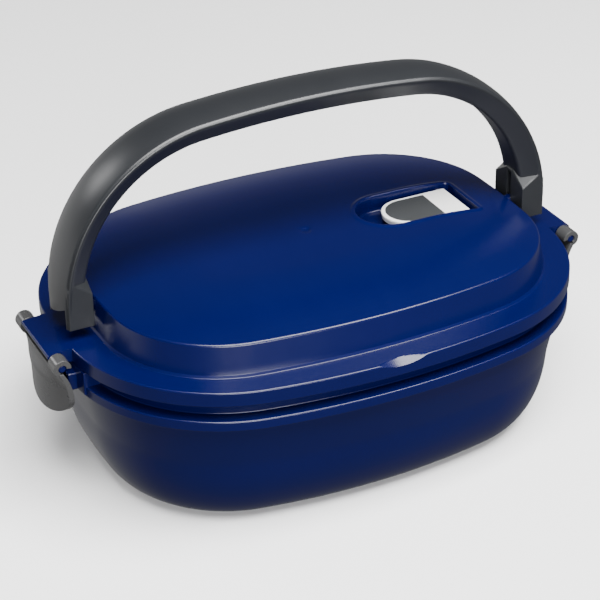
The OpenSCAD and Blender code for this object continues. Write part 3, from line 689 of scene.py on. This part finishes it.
class LUNCHBOX_OT_lid(bpy.types.Operator):
    """Makes the domed lid with its recess, scoop, ears and pins."""

    bl_idname = "lunchbox.lid"
    bl_label = "Lid"

    def execute(self, context):
        s, f = sizes(), fittings()
        lift = mm(s.lid_plane)
        wall, skirt, edge = mm(s.lid_wall), mm(s.skirt_h), mm(s.dome_h)
        lid = Maker()
        flange = oval_outline(flange_oval())
        dome = oval_outline(dome_oval())
        skirt_profile = rounded([(wall, -wall - 2.0), (wall, -skirt, 0.5), (0, -skirt, 0.6)]
                                + [(0, -3.2 + 0.3 * i) for i in range(8)]
                                + [(0, 0, 0.75)] + [(1.0 + 0.45 * i, 0) for i in range(9)])
        loops = band(flange, skirt_profile)
        rise = rounded([(-5.0, 0), (-2.9, 0, 0.5), (-2.1, 1.1, 0.5), (0, edge + 0.1, 1.3),
                        (3.0, edge + 0.55)], steps=6)
        for inset, z in rise[:-1]:
            loops += band(dome, [(inset, z)])
        rim = [Vector((*(p - n * 3.0), crown(*(p - n * 3.0)))) for p, n in dome]
        loops.append(rim)
        rings = lid.loft([[v + Vector((0, 0, lift)) for v in loop] for loop in loops])
        outline, floor = recess()
        lip = [(-2.9, 0.0), (-2.5, 0.05), (-2.0, 0.20), (-1.6, 0.34), (-1.15, 0.42), (-0.7, 0.42),
               (-0.35, 0.30), (-0.1, 0.05), (0.0, -0.3), (0.05, -0.9)]
        lip_loops = [[Vector((*(p - n * q), crown(*(p - n * q)) + h + lift)) for p, n in outline]
                     for q, h in lip]
        lip_loops += band(outline, [(0.25, floor + 2.0), (0.40, floor + 1.2), (0.75, floor + 0.5),
                                    (1.3, floor + 0.12), (2.0, floor)], lift)
        pocket = lid.loft(lip_loops)
        seat_loops = band(steam_hole(), [(-SEAT_WALL, floor), (-SEAT_WALL, floor + SEAT_H - 0.1),
                                         (-SEAT_WALL + 0.1, floor + SEAT_H),
                                         (-0.1, floor + SEAT_H), (0, floor + SEAT_H - 0.1),
                                         (0, floor - 1.0)], lift)
        seat_rings = lid.loft(seat_loops)
        half_l, half_w = mm(s.flange_l) / 2, mm(s.flange_w) / 2
        dome_net = net(-half_l, half_l, -half_w, half_w, 3.0)
        gate = [tuple(p) for r in GATE_RINGS for p, _ in circle_outline(0, 0, r, 16)]
        dome_net = [p for p in dome_net if hypot(*p) > GATE_RINGS[-1] + 1.0] + gate + [(0, 0)]
        lid.fill(rings[-1], [pocket[0]], dome_net,
                 lambda x, y: crown(x, y) + lift - GATE_DEEP * exp(-(hypot(x, y) / GATE_R) ** 4),
                 spare=0.9)
        lid.fill(pocket[-1], [seat_rings[0]], [], lambda x, y: floor + lift)
        self.scoop(lid.bm, lift)
        shell = lid.piece("lid", "blue")
        thick = shell.modifiers.new("Wall", "SOLIDIFY")
        thick.thickness = (wall - 0.2) * MM
        thick.offset = -1.0
        thick.use_even_offset = False
        place(smooth(baked(shell)), "lid", "blue_lid", "lid_shell")
        for side, word in ((-1, "left"), (1, "right")):
            self.ear(side, word, lift)
        return {"FINISHED"}

    @staticmethod
    def scoop(bm, lift):
        """Presses the front edge down to a sphere, which leaves the finger scoop."""
        x, y, z = SCOOP_AT
        centre = Vector((x, y - mm(sizes().flange_w) / 2, z + lift))
        for v in bm.verts:
            p = v.co / MM
            left = SCOOP_R ** 2 - (p.x - centre.x) ** 2 - (p.y - centre.y) ** 2
            if left > 0 and centre.z - sqrt(left) < p.z < lift + 0.2:
                v.co.z = (centre.z - sqrt(left)) * MM
        bmesh.ops.remove_doubles(bm, verts=bm.verts, dist=0.00003)

    def ear(self, side, word, lift):
        """An ear, the pin through it and the handle's pivot, at one end."""
        s, f = sizes(), fittings()
        half = mm(f.ear_half)
        x = mm(s.flange_l) / 2
        tip = x + EAR_REACH
        ear = Maker()
        profile = rounded([(x - 4.0, -1.6), (x - 4.0, 0.02, 0.01), (x + 0.5, 0.02, 3.0),
                           (tip - 0.5, -0.95, 0.6), (tip, -1.5, 0.4), (tip, -2.4, 0.3),
                           (tip - 1.2, -2.5, 0.5), (x + 4.5, -3.1, 1.0), (x + 0.8, -6.0, 0.5),
                           (x - 3.0, -6.0)], closed=True, steps=4)
        ear.prism([Vector((side * px, -half, pz + lift)) for px, pz in profile],
                  (0, 2 * half, 0))
        block = soften(ear.piece("ear_" + word, "blue"), 0.35, 60.0, 2)
        place(smooth(block), "lid", "blue_lid")
        pin = Maker()
        pin_x = side * (tip - PIN_DX)
        reach = mm(f.latch_half) - 0.3
        pin.loft(across(pin_x, PIN_Z + lift, ((-reach, 1.3), (-reach + 0.4, 1.7),
                                              (reach - 0.4, 1.7), (reach, 1.3))), caps=True)
        pin.box((pin_x - 1.7, -half + 0.2, PIN_Z + lift), (pin_x + 1.7, half - 0.2, -2.2 + lift))
        low, high = sorted((side * (x - 1.0), pin_x))
        pin.box((low, -half + 0.2, -4.9 + lift), (high, half - 0.2, -3.3 + lift))
        place(smooth(pin.piece("ear_pin_" + word, "blue")), "lid", "blue_lid")
        pivot = Maker()
        root = side * (x - mm(s.dome_end_gap) - 1.4)
        end = side * (x - 8.8)
        pivot.tube((root, 0, PIVOT_Z + lift), (end, 0, PIVOT_Z + lift), 2.8)
        post = soften(pivot.piece("handle_pivot_" + word, "blue"), 0.3, 60.0, 2)
        place(smooth(post), "lid", "blue_lid")


class LUNCHBOX_OT_tub(bpy.types.Operator):
    """Makes the tub with its flange, catches and the inlet's boss."""

    bl_idname = "lunchbox.tub"
    bl_label = "Tub"

    def execute(self, context):
        s = sizes()
        lift = mm(s.lid_plane)
        wall, height = mm(s.tub_wall), mm(s.tub_h)
        top = -mm(s.skirt_h) - mm(s.groove_h)
        under = top - mm(s.tub_flange_h)
        knee, reach, drop, step, draft = -height + 34.0, 17.0, 34.0, 4.0, 3.7
        curve = []
        slope = draft / (under - knee)
        for i in range(31):
            t = pi / 2 * i / 30
            fall = drop * sin(t)
            ease = slope * fall * exp(-fall / 6.0)
            curve.append((step + draft + reach * (1 - cos(t)) + ease, knee - fall))
        inner = []
        for i in range(25):
            t = pi / 2 * i / 24
            inner.append((step + draft + wall + (reach - 1.0) * (1 - cos(t)),
                          knee - (drop - wall) * sin(t)))
        outer = rounded([(8.9, top + 2.0), (8.9, -8.0, 0.4), (6.5, -8.0, 0.4), (6.5, top, 0.5),
                         (0.3, top, 0.7), (0.3, under, 0.6), (step, under, 0.9),
                         (step + draft, knee)], steps=4)
        profile = [tuple(p) for p in outer] + curve[1:]
        profile += [(31.9, -height), (31.9, -height + 2), (40.2, -height + 2),
                    (40.2, -height + 4.4), (31.0, -height + 4.4)]
        profile += list(reversed(inner)) + [(step + wall, under)]
        tub = Maker()
        tub.loft(band(oval_outline(flange_oval()), profile, lift), closed_profile=True)
        shell = tub.piece("tub", "blue")
        socket_y = mm(s.flange_w) / 2 - 9.8
        socket_z = 12.6
        boss = Maker()
        boss.box((-15, socket_y - 6.5, socket_z - 8.6), (15, socket_y, socket_z + 8.6))
        cut(shell, [soften(boss.piece("boss", "blue"), 1.2, 60.0, 4)], "UNION")
        hole = Maker()
        self.stadium(hole, socket_y - 20, socket_y + 6, socket_z, 21.2, 12.8)
        cut(shell, [hole.piece("hole", "blue")])
        place(smooth(shell), "base", "blue_body", "tub_shell")
        for side, word in ((-1, "left"), (1, "right")):
            self.catch(side, word, top, under, lift)
        return {"FINISHED"}

    @staticmethod
    def stadium(maker, y0, y1, z, width, height):
        """A prism along Y with round ends."""
        r = height / 2
        half = width / 2 - r
        points = []
        for side in (1, -1):
            for i in range(25):
                t = side * pi / 2 - pi * i / 24
                points.append(Vector((side * half + r * cos(t), y0, z + r * sin(t))))
        maker.prism(points, (0, y1 - y0, 0))

    def catch(self, side, word, top, under, lift):
        """The block between the flanges and the lug that a latch hooks under."""
        s = sizes()
        x = mm(s.flange_l) / 2
        catch = Maker()
        n = 24
        outer, inner = [], []
        for i in range(n + 1):
            y = -26.0 + 52.0 * i / n
            bow = y * y / (2 * 400.0)
            outer.append((x - 0.3 - bow, y))
            inner.append((x - 7.5 - bow, y))
        ring = outer + list(reversed(inner))
        points = [Vector((side * px, py, under + 1.0 + lift)) for px, py in ring]
        catch.prism(points, (0, 0, -mm(s.skirt_h) - 0.25 - under - 1.0))
        block = soften(catch.piece("catch_block_" + word, "blue"), 0.35, 60.0, 2)
        place(smooth(block), "base", "blue_body")
        lug = Maker()
        low, high = sorted((side * (x - 4.0), side * (x + 3.0)))
        lug.box((low, -18.5, under + lift), (high, 18.5, under + 8.0 + lift))
        nose = soften(lug.piece("catch_" + word, "blue"), 0.7, 60.0, 3)
        place(smooth(nose), "base", "blue_body")


class LUNCHBOX_OT_inside(bpy.types.Operator):
    """Makes the tray, the well, the lid's liner and its seal."""

    bl_idname = "lunchbox.inside"
    bl_label = "Tray and liner"

    def execute(self, context):
        s = sizes()
        lift = mm(s.lid_plane)
        outline = oval_outline(flange_oval())
        floor = -mm(s.tub_h) + mm(s.tub_wall) + 19.0
        well = self.dish(outline, lift, 10.4, 1.6, -6.4, floor, 10.0, 6.9, 8.0, 37.0)
        place(smooth(well.piece("heat_well_shell", "liner")), "base", "inner_housing", "heat_well")
        tray = self.dish(outline, lift, 13.1, 0.7, -5.6, floor + 2.3, 10.0, 8.1, 13.0, None)
        place(smooth(tray.piece("tray", "steel")), "tray", "tray_steel", "food_tray")
        liner = Maker()
        profile = rounded([(24.0, -11.2), (16.1, -11.2, 0.4), (16.1, -2.3), (6.7, -2.3),
                           (6.7, -4.7, 0.3), (7.7, -4.7, 0.3), (7.7, -3.5, 0.4), (14.8, -3.5, 0.6),
                           (14.9, -12.5, 1.6), (24.0, -12.5)], steps=5)
        rings = liner.loft(band(outline, profile, lift))
        vent = liner.loft(band(steam_hole(), [(0, -11.2), (0, -12.5)], lift))
        liner.fill(rings[0], [vent[0]], [], lambda x, y: -11.2 + lift)
        liner.fill(rings[-1], [vent[-1]], [], lambda x, y: -12.5 + lift)
        place(smooth(liner.piece("liner", "liner")), "lid", "liner_plastic", "lid_liner")
        seal = Maker()
        seal.loft(band(outline, rounded([
            (8.0, -3.55), (8.0, -4.5, 0.2), (9.0, -4.6, 0.3), (9.3, -5.35, 0.25),
            (10.3, -5.35, 0.25), (10.7, -4.6, 0.3), (11.6, -4.6, 0.3), (11.8, -5.1, 0.2),
            (12.7, -5.1, 0.2), (12.9, -4.5, 0.3), (14.6, -4.5, 0.2), (14.6, -3.55)],
            closed=True, steps=3), lift), closed_profile=True)
        place(smooth(seal.piece("seal", "silicone")), "lid", "seal_silicone", "lid_seal")
        return {"FINISHED"}

    @staticmethod
    def dish(outline, lift, step, wall, top, floor, r, rim_from, rim_curl, hole):
        """A dish with a rim, whose floor may have a round hole."""
        dish = Maker()
        inner = rounded([(rim_from, top - 0.5 * wall), (rim_from, top, 0.3 * wall),
                         (step + wall, top, 1.2), (step + wall + 2.4, floor + wall, r),
                         (step + wall + 16, floor + wall)], steps=12)
        outer = rounded([(step + 16, floor), (step + 2.4, floor, r + wall),
                         (step, top - wall, 0.6), (rim_from, top - wall, 0.3 * wall),
                         (rim_from, top - 0.6 * wall)], steps=12)
        rings = dish.loft(band(outline, inner, lift))
        under = dish.loft(band(outline, outer, lift))
        dish.bridge(under[-1], rings[0])
        if hole:
            edge = dish.loft(band(circle_outline(0, 0, hole, 96),
                                  [(0, floor + wall), (0, floor)], lift))
            dish.fill(rings[-1], [edge[0]], [], lambda x, y: floor + wall + lift)
            dish.fill(under[0], [edge[-1]], [], lambda x, y: floor + lift)
        else:
            dish.face(rings[-1])
            dish.face(under[0])
        return dish


class LUNCHBOX_OT_vent(bpy.types.Operator):
    """Makes the vent flap and its grey pad."""

    bl_idname = "lunchbox.vent"
    bl_label = "Vent flap"

    def execute(self, context):
        f = fittings()
        lift = mm(sizes().lid_plane)
        x0, x1, top, pin_x, pin_z = flap_place()
        half = mm(f.flap_w) / 2
        thick = 2.8
        flap = Maker()
        outline = d_outline(x0, x1 - 0.2, half, 0.7)
        profile = rounded([(0.6, top - thick), (0.3, top - thick, 0.25), (0, top - 1.0, 0.3),
                           (0, top, 0.45), (0.6, top)], steps=5)
        flap.loft(band(outline, profile, lift), caps=True)
        shell = flap.piece("flap", "white")
        barrel = Maker()
        barrel.loft(across(pin_x, pin_z + lift, ((-half, 1.7), (-half + 0.2, 1.9),
                                                 (half - 0.2, 1.9), (half, 1.7))), caps=True)
        cut(shell, [barrel.piece("barrel", "white")], "UNION")
        bore = Maker()
        bore.tube((pin_x, -half - 2, pin_z + lift), (pin_x, half + 2, pin_z + lift), 1.03, steps=24)
        cut(shell, [bore.piece("bore", "white")])
        place(smooth(shell), "vent_flap", "white_flap", "vent_flap")
        pad = Maker()
        edge = 1.7
        pad_outline = d_outline(x0 + edge, x0 + half + 13.0, half - edge, 0.3)
        pad_profile = rounded([(0.25, top - 0.7), (0.0, top - 0.7), (0.0, top + 0.06, 0.12),
                               (0.25, top + 0.06)], steps=3)
        pad.loft(band(pad_outline, pad_profile, lift), caps=True)
        place(smooth(pad.piece("pad", "pad")), "vent_flap", "grey_pad", "vent_pad")
        dress("vent_plug", "silicone")
        dress("vent_pin", "zinc")
        return {"FINISHED"}


# Half of the handle's section: (distance from its middle, depth under its outer face)
BAR_HALF = ((0.0, -0.70), (3.0, -0.60), (5.5, -0.34), (7.6, 0.04), (9.0, 0.36), (10.0, 0.62),
            (10.45, 0.86), (10.7, 1.22), (10.95, 1.34), (11.15, 1.20), (11.4, 1.14),
            (11.65, 1.30), (11.82, 1.66), (11.80, 2.15), (11.62, 2.7), (11.2, 3.5),
            (10.2, 5.2), (9.2, 6.9), (8.2, 8.6), (7.7, 9.4), (7.0, 10.05), (6.0, 10.36),
            (4.0, 10.4), (0.0, 10.4))
BAR_DEEP = BAR_HALF[-1][1]
# How much wider the bar's outer face is at the top of the arch
WIDER = 0.11
# From the outer face of a leg to the inner face of its foot
FOOT_DEEP = 12.3


class LUNCHBOX_OT_handle(bpy.types.Operator):
    """Makes the arched handle with its beaded edges and hollow feet."""

    bl_idname = "lunchbox.handle"
    bl_label = "Handle"

    def execute(self, context):
        s, f = sizes(), fittings()
        lift = mm(s.lid_plane)
        deeper = mm(f.handle_t) / BAR_DEEP
        section = [(y, d * deeper) for y, d in BAR_HALF]
        section += [(-y, d) for y, d in reversed(section[1:-1])]
        bar = Maker()
        loops = []
        for point, out in self.path():
            grow = WIDER * max(0.0, out.y) ** 0.5
            loops.append([Vector((point.x - out.x * d, y * (1 + grow * (1 - d / mm(f.handle_t))),
                                  point.y - out.y * d + lift)) for y, d in section])
        bar.loft(loops, caps=True)
        handle = bar.piece("handle", "grey")
        for side in (-1, 1):
            cut(handle, [self.block(side, lift)], "UNION")
            cut(handle, self.hollows(side, lift))
        place(smooth(handle, 38.0), "handle", "grey_handle", "handle")
        return {"FINISHED"}

    @staticmethod
    def path():
        """Points of the outer face in the X-Z plane, each with its outward direction."""
        f = fittings()
        out = mm(f.handle_span) / 2
        r = mm(f.shoulder_r)
        centre = out - r
        top_r = r + centre / sin(f.top_a)
        base = mm(f.handle_h) - top_r
        shoulder_z = base + (top_r - r) * cos(f.top_a)
        turns = []
        low = mm(f.foot_gap) + 0.3
        steps = 5
        for i in range(steps):
            z = low + (shoulder_z - low) * i / steps
            turns.append((Vector((-out, z)), Vector((-1.0, 0.0))))
        arcs = [(-centre, shoulder_z, r, pi, pi / 2 + f.top_a, 52),
                (0.0, base, top_r, pi / 2 + f.top_a, pi / 2 - f.top_a, 34),
                (centre, shoulder_z, r, pi / 2 - f.top_a, 0.0, 52)]
        for cx, cz, radius, first, last, n in arcs:
            for i in range(n):
                t = first + (last - first) * i / n
                way = Vector((cos(t), sin(t)))
                turns.append((Vector((cx, cz)) + way * radius, way))
        for i in range(steps + 1):
            z = shoulder_z + (low - shoulder_z) * i / steps
            turns.append((Vector((out, z)), Vector((1.0, 0.0))))
        return turns

    @staticmethod
    def block(side, lift):
        """The foot's block with its slanted shoulders."""
        f = fittings()
        half = mm(f.handle_w) / 2 - 0.06
        out = mm(f.handle_span) / 2
        low = mm(f.foot_gap)
        top = mm(f.foot_top)
        block = Maker()
        points = []
        for y in (-1, 1):
            points += [(out - FOOT_DEEP, y * half, low), (out - 1.2, y * half, low),
                       (out - 1.3, y * half, top + 2.0), (out - 3.6, y * half, top + 4.4),
                       (out - FOOT_DEEP, y * half, top - 1.4), (out - FOOT_DEEP, y * 2.4, top + 4.2),
                       (out - 4.5, y * 2.4, top + 8.5)]
        block.hull([Vector((side * x, y, z + lift)) for x, y, z in points])
        return soften(block.piece("foot_block", "grey"), 0.5, 20.0, 3)

    @staticmethod
    def hollows(side, lift):
        """What is cut from a foot: its hollow, the arch, the pivot's hole and the slot."""
        f = fittings()
        half = mm(f.handle_w) / 2
        out = mm(f.handle_span) / 2
        inner = out - FOOT_DEEP
        top = mm(f.foot_top)
        low = mm(f.foot_gap)
        hollow = Maker()
        x = sorted((side * (inner + 2.2), side * (out - 2.2)))
        hollow.box((x[0], -half + 2.2, -2 + lift), (x[1], half - 2.2, top - 3 + lift))
        arch = Maker()
        points = [Vector((side * (out + 2), half - 2.8, -2 + lift)),
                  Vector((side * (out + 2), -half + 2.2, -2 + lift))]
        for i in range(17):
            y = -half + 2.2 + (2 * half - 5) * i / 16
            z = low + 2.4 + 7.5 * ((half - 2.8 - y) / 19.7) ** 1.4
            points.append(Vector((side * (out + 2), y, z + lift)))
        arch.prism(points, (-side * 5.0, 0, 0))
        hole = Maker()
        hole.tube((side * (inner - 2), 0, PIVOT_Z + lift),
                  (side * (inner + 4), 0, PIVOT_Z + lift), 2.86)
        slot = Maker()
        x = sorted((side * (inner - 2), side * (inner + 3.4)))
        slot.box((x[0], -1.7, -2 + lift), (x[1], 1.7, top + 3.0 + lift))
        return [m.piece("foot_cut", "grey") for m in (hollow, arch, hole, slot)]


class LUNCHBOX_OT_latches(bpy.types.Operator):
    """Makes the two latches that clip on the lid's pins."""

    bl_idname = "lunchbox.latches"
    bl_label = "Latches"

    def execute(self, context):
        for side, word in ((-1, "left"), (1, "right")):
            self.latch(side, word)
        return {"FINISHED"}

    @staticmethod
    def face_out(z, u):
        """How far out of the pin's axis a latch's face lies."""
        depth = max(0.0, PIN_Z - z)
        k = min(1.0, depth / 12.0)
        swell = k * k * (3 - 2 * k)
        return PIN_DX - 5.7 + 5.2 * exp(-(depth / 6.6) ** 1.35) + 5.5 * swell * (1 - u * u)

    @staticmethod
    def low_edge(u):
        """How low a latch's face reaches."""
        return PIN_Z - 27.0 + 11.7 * (1 - sqrt(max(0.0, 1 - u * u)))

    def latch(self, side, word):
        s, f = sizes(), fittings()
        lift = mm(s.lid_plane)
        half = mm(f.latch_half)
        pin_x = mm(s.flange_l) / 2 + EAR_REACH - PIN_DX
        top = PIN_Z - 2.4
        latch = Maker()
        nu, nz = 48, 26
        wall = 2.2
        sheets = []
        for depth in (0.0, wall):
            rows = []
            for i in range(nu + 1):
                u = -cos(pi * i / nu)
                low = self.low_edge(u)
                rows.append([Vector((side * (pin_x + self.face_out(z, u) - depth), u * half,
                                     z + lift))
                             for z in (top + (low - top) * j / nz for j in range(nz + 1))])
            sheets.append([latch.ring(row) for row in rows])
        for rows in sheets:
            for a, b in zip(rows, rows[1:]):
                latch.bridge(a, b, closed=False)
        outer, inner = sheets
        for a, b in ((outer[0], inner[0]), (outer[-1], inner[-1])):
            latch.bridge(a, b, closed=False)
        for j in (0, nz):
            latch.bridge([row[j] for row in outer], [row[j] for row in inner], closed=False)
        plate = soften(latch.piece("latch_" + word, "latch"), 0.7, 55.0, 4)
        place(smooth(plate, 40.0, weighted=False), "latch_" + word, "grey_latch", "latch_" + word)
        inner_half = mm(f.ear_half) + 0.35
        for end, name in ((-1, "front"), (1, "back")):
            clip = Maker()
            ring = []
            first, last = radians(-62), radians(186)
            steps = 44
            for r, order in ((3.85, range(steps + 1)), (1.76, range(steps, -1, -1))):
                for i in order:
                    t = first + (last - first) * i / steps
                    ring.append(Vector((side * (pin_x + r * cos(t)), 0, PIN_Z + lift + r * sin(t))))
            y0, y1 = sorted((end * inner_half, end * half))
            clip.prism([v + Vector((0, y0, 0)) for v in ring], (0, y1 - y0, 0))
            hook = soften(clip.piece("clip_%s_%s" % (word, name), "latch"), 0.45, 60.0, 3)
            place(smooth(hook, 40.0), "latch_" + word, "grey_latch")
        tooth = Maker()
        catch_z = -mm(s.skirt_h) - mm(s.groove_h) - mm(s.tub_flange_h)
        low, high = sorted((side * (mm(s.flange_l) / 2 + 1.4), side * (pin_x + 1.9)))
        tooth.box((low, -11, catch_z - 3.0 + lift), (high, 11, catch_z - 0.6 + lift))
        rib = soften(tooth.piece("latch_tooth_" + word, "latch"), 0.5, 60.0, 3)
        place(smooth(rib, 40.0), "latch_" + word, "grey_latch")


class LUNCHBOX_OT_works(bpy.types.Operator):
    """Finishes the heater, the inlet, the wires and the underside."""

    bl_idname = "lunchbox.works"
    bl_label = "Heater and underside"

    FINISH_OF = {
        "bottom_cover": "black", "heating_plate": "alloy", "plate_gasket": "gasket",
        "heater_block": "ceramic", "heater_clamp": "zinc", "thermostat": "bakelite",
        "thermal_fuse": "ceramic", "inlet_socket": "black", "wire_live": "red_wire",
        "wire_neutral": "blue_wire", "heater_lead_back": "lead", "heater_lead_front": "lead",
    }

    def execute(self, context):
        for node, name in self.FINISH_OF.items():
            dress(node, name)
        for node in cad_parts:
            if "screw" in node:
                dress(node, "zinc")
            if node.startswith("foot_"):
                dress(node, "rubber")
            if node.startswith("inlet_pin"):
                dress(node, "brass")
        return {"FINISHED"}


# Camera and light; the camera was fitted to the photograph, in pixels and millimetres

IMAGE = 600
FOCAL_PX = 1956.9
SENSOR = 36.0
CAMERA_AZ = radians(25.7404)
CAMERA_EL = radians(29.4965)
CAMERA_ROLL = radians(-0.972)
CAMERA_FAR = 860.577
CAMERA_AIM = Vector((-2.603, 1.2545, 57.484))

# Heights, as the sine of the angle, where the bright band behind the box begins and ends
BAND_FOOT = (-0.5, -0.2)
BAND_TOP = (0.04, 0.22)
BAND_GLOW = 0.85
# The band is brightest towards the back left
BAND_WAY = (-0.6, 1.0, 0.0)
FLOOR_GLOW = 0.24
ROOM_GLOW = 0.10


class LUNCHBOX_OT_stage(bpy.types.Operator):
    """Makes the floor, the soft lights and the camera."""

    bl_idname = "lunchbox.stage"
    bl_label = "Stage"

    def execute(self, context):
        self.camera(context)
        self.floor()
        self.world(context)
        self.lamp("overhead", (0.1, -0.5, 1.3), (0.0, 0.0, 0.0), (1.4, 0.8), 80.0)
        self.lamp("front strip", (-0.25, -0.95, 1.15), (0.0, 0.0, 0.05), (1.6, 0.12), 0.5)
        self.lamp("front", (-0.35, -1.7, 0.40), (0.0, 0.0, 0.03), (1.2, 0.6), 46.0)
        self.lamp("back left", (-0.90, 1.30, 0.85), (0.0, 0.0, 0.10), (0.3, 0.45), 6.0)
        return {"FINISHED"}

    @staticmethod
    def camera(context):
        data = bpy.data.cameras.new("camera")
        data.sensor_width = SENSOR
        data.lens = FOCAL_PX / IMAGE * SENSOR
        camera = bpy.data.objects.new("camera", data)
        ahead = Vector((sin(CAMERA_AZ) * cos(CAMERA_EL), cos(CAMERA_AZ) * cos(CAMERA_EL),
                        -sin(CAMERA_EL)))
        right = Vector((cos(CAMERA_AZ), -sin(CAMERA_AZ), 0.0))
        up = right.cross(ahead)
        across = cos(CAMERA_ROLL) * right + sin(CAMERA_ROLL) * up
        above = -sin(CAMERA_ROLL) * right + cos(CAMERA_ROLL) * up
        turn = Matrix((across, above, -ahead)).transposed().to_4x4()
        camera.matrix_world = Matrix.Translation((CAMERA_AIM - ahead * CAMERA_FAR) * MM) @ turn
        context.scene.collection.objects.link(camera)
        context.scene.camera = camera

    @staticmethod
    def floor():
        maker = Maker()
        size = 2500.0
        maker.face(maker.ring([(-size, -size, 0), (size, -size, 0), (size, size, 0),
                               (-size, size, 0)]))
        floor = maker.piece("floor", None)
        material = bpy.data.materials.new("Pale floor")
        material.use_nodes = True
        shader = material.node_tree.nodes["Principled BSDF"]
        shader.inputs["Base Color"].default_value = (0.93, 0.93, 0.93, 1.0)
        shader.inputs["Roughness"].default_value = 0.6
        shader.inputs["Specular IOR Level"].default_value = 0.2
        floor.data.materials.append(material)
        floor.visible_glossy = False
        floor.visible_diffuse = False

    @staticmethod
    def world(context):
        """A studio that is bright low down behind the box and dim in front and above."""
        world = bpy.data.worlds.new("Studio")
        world.use_nodes = True
        sky = Sheet(world.node_tree)
        way = sky.node("ShaderNodeTexCoord", {}, {})[0]
        height = sky.node("ShaderNodeSeparateXYZ", {}, [way])[2]
        aside = sky.node("ShaderNodeVectorMath", {"operation": "DOT_PRODUCT"}, [way, BAND_WAY])[1]

        def ramp(value, low, high, first, last):
            return sky.node("ShaderNodeMapRange", {"interpolation_type": "SMOOTHSTEP"},
                            [value, low, high, first, last])[0]

        band_low = ramp(height, *BAND_FOOT, 0.35, 1.0)
        band_high = ramp(height, *BAND_TOP, BAND_GLOW, 0.0)
        room = ramp(height, -0.05, 0.12, FLOOR_GLOW, ROOM_GLOW)
        light = band_low * band_high * ramp(aside, 0.45, 1.05, 0.0, 1.0) + room
        background = world.node_tree.nodes["Background"]
        world.node_tree.links.new(light.socket, background.inputs["Strength"])
        background.inputs["Color"].default_value = (1.0, 1.0, 1.0, 1.0)
        context.scene.world = world

    @staticmethod
    def lamp(name, at, aim, size, power):
        data = bpy.data.lights.new(name, "AREA")
        data.shape = "RECTANGLE"
        data.size, data.size_y = size
        data.energy = power
        lamp = bpy.data.objects.new(name, data)
        lamp.location = at
        lamp.rotation_euler = (Vector(aim) - Vector(at)).to_track_quat("-Z", "Y").to_euler()
        bpy.context.scene.collection.objects.link(lamp)


class LUNCHBOX_PT_parts(bpy.types.Panel):
    """Lists the lunch box's sizes, colours and parts."""

    bl_idname = "LUNCHBOX_PT_parts"
    bl_label = "Lunch Box"
    bl_space_type = "VIEW_3D"
    bl_region_type = "UI"
    bl_category = "Lunch Box"

    def draw(self, context):
        layout = self.layout
        for group in (sizes(), fittings(), colours()):
            box = layout.box()
            for name in group.bl_rna.properties.keys():
                if name not in ("rna_type", "name"):
                    box.prop(group, name)
        for operator in PART_OPERATORS:
            layout.operator(operator.bl_idname)


PART_OPERATORS = (LUNCHBOX_OT_stage, LUNCHBOX_OT_tub, LUNCHBOX_OT_inside, LUNCHBOX_OT_works,
                  LUNCHBOX_OT_lid, LUNCHBOX_OT_vent, LUNCHBOX_OT_handle, LUNCHBOX_OT_latches)
GROUPS = {"lunch_box_shell": LunchBoxShellSizes, "lunch_box_fittings": LunchBoxFittingSizes,
          "lunch_box_colours": LunchBoxColours}
CLASSES = (*GROUPS.values(), *PART_OPERATORS, LUNCHBOX_PT_parts)


def register():
    for cls in CLASSES:
        bpy.utils.register_class(cls)
    for name, group in GROUPS.items():
        setattr(bpy.types.Scene, name, bpy.props.PointerProperty(type=group))


def unregister():
    for name in GROUPS:
        delattr(bpy.types.Scene, name)
    for cls in reversed(CLASSES):
        bpy.utils.unregister_class(cls)


def main():
    register()
    bpy.ops.lunchbox.stage()
    bpy.ops.lunchbox.tub()
    bpy.ops.lunchbox.inside()
    bpy.ops.lunchbox.works()
    bpy.ops.lunchbox.lid()
    bpy.ops.lunchbox.vent()
    bpy.ops.lunchbox.handle()
    bpy.ops.lunchbox.latches()


if __name__ == "__main__":
    main()
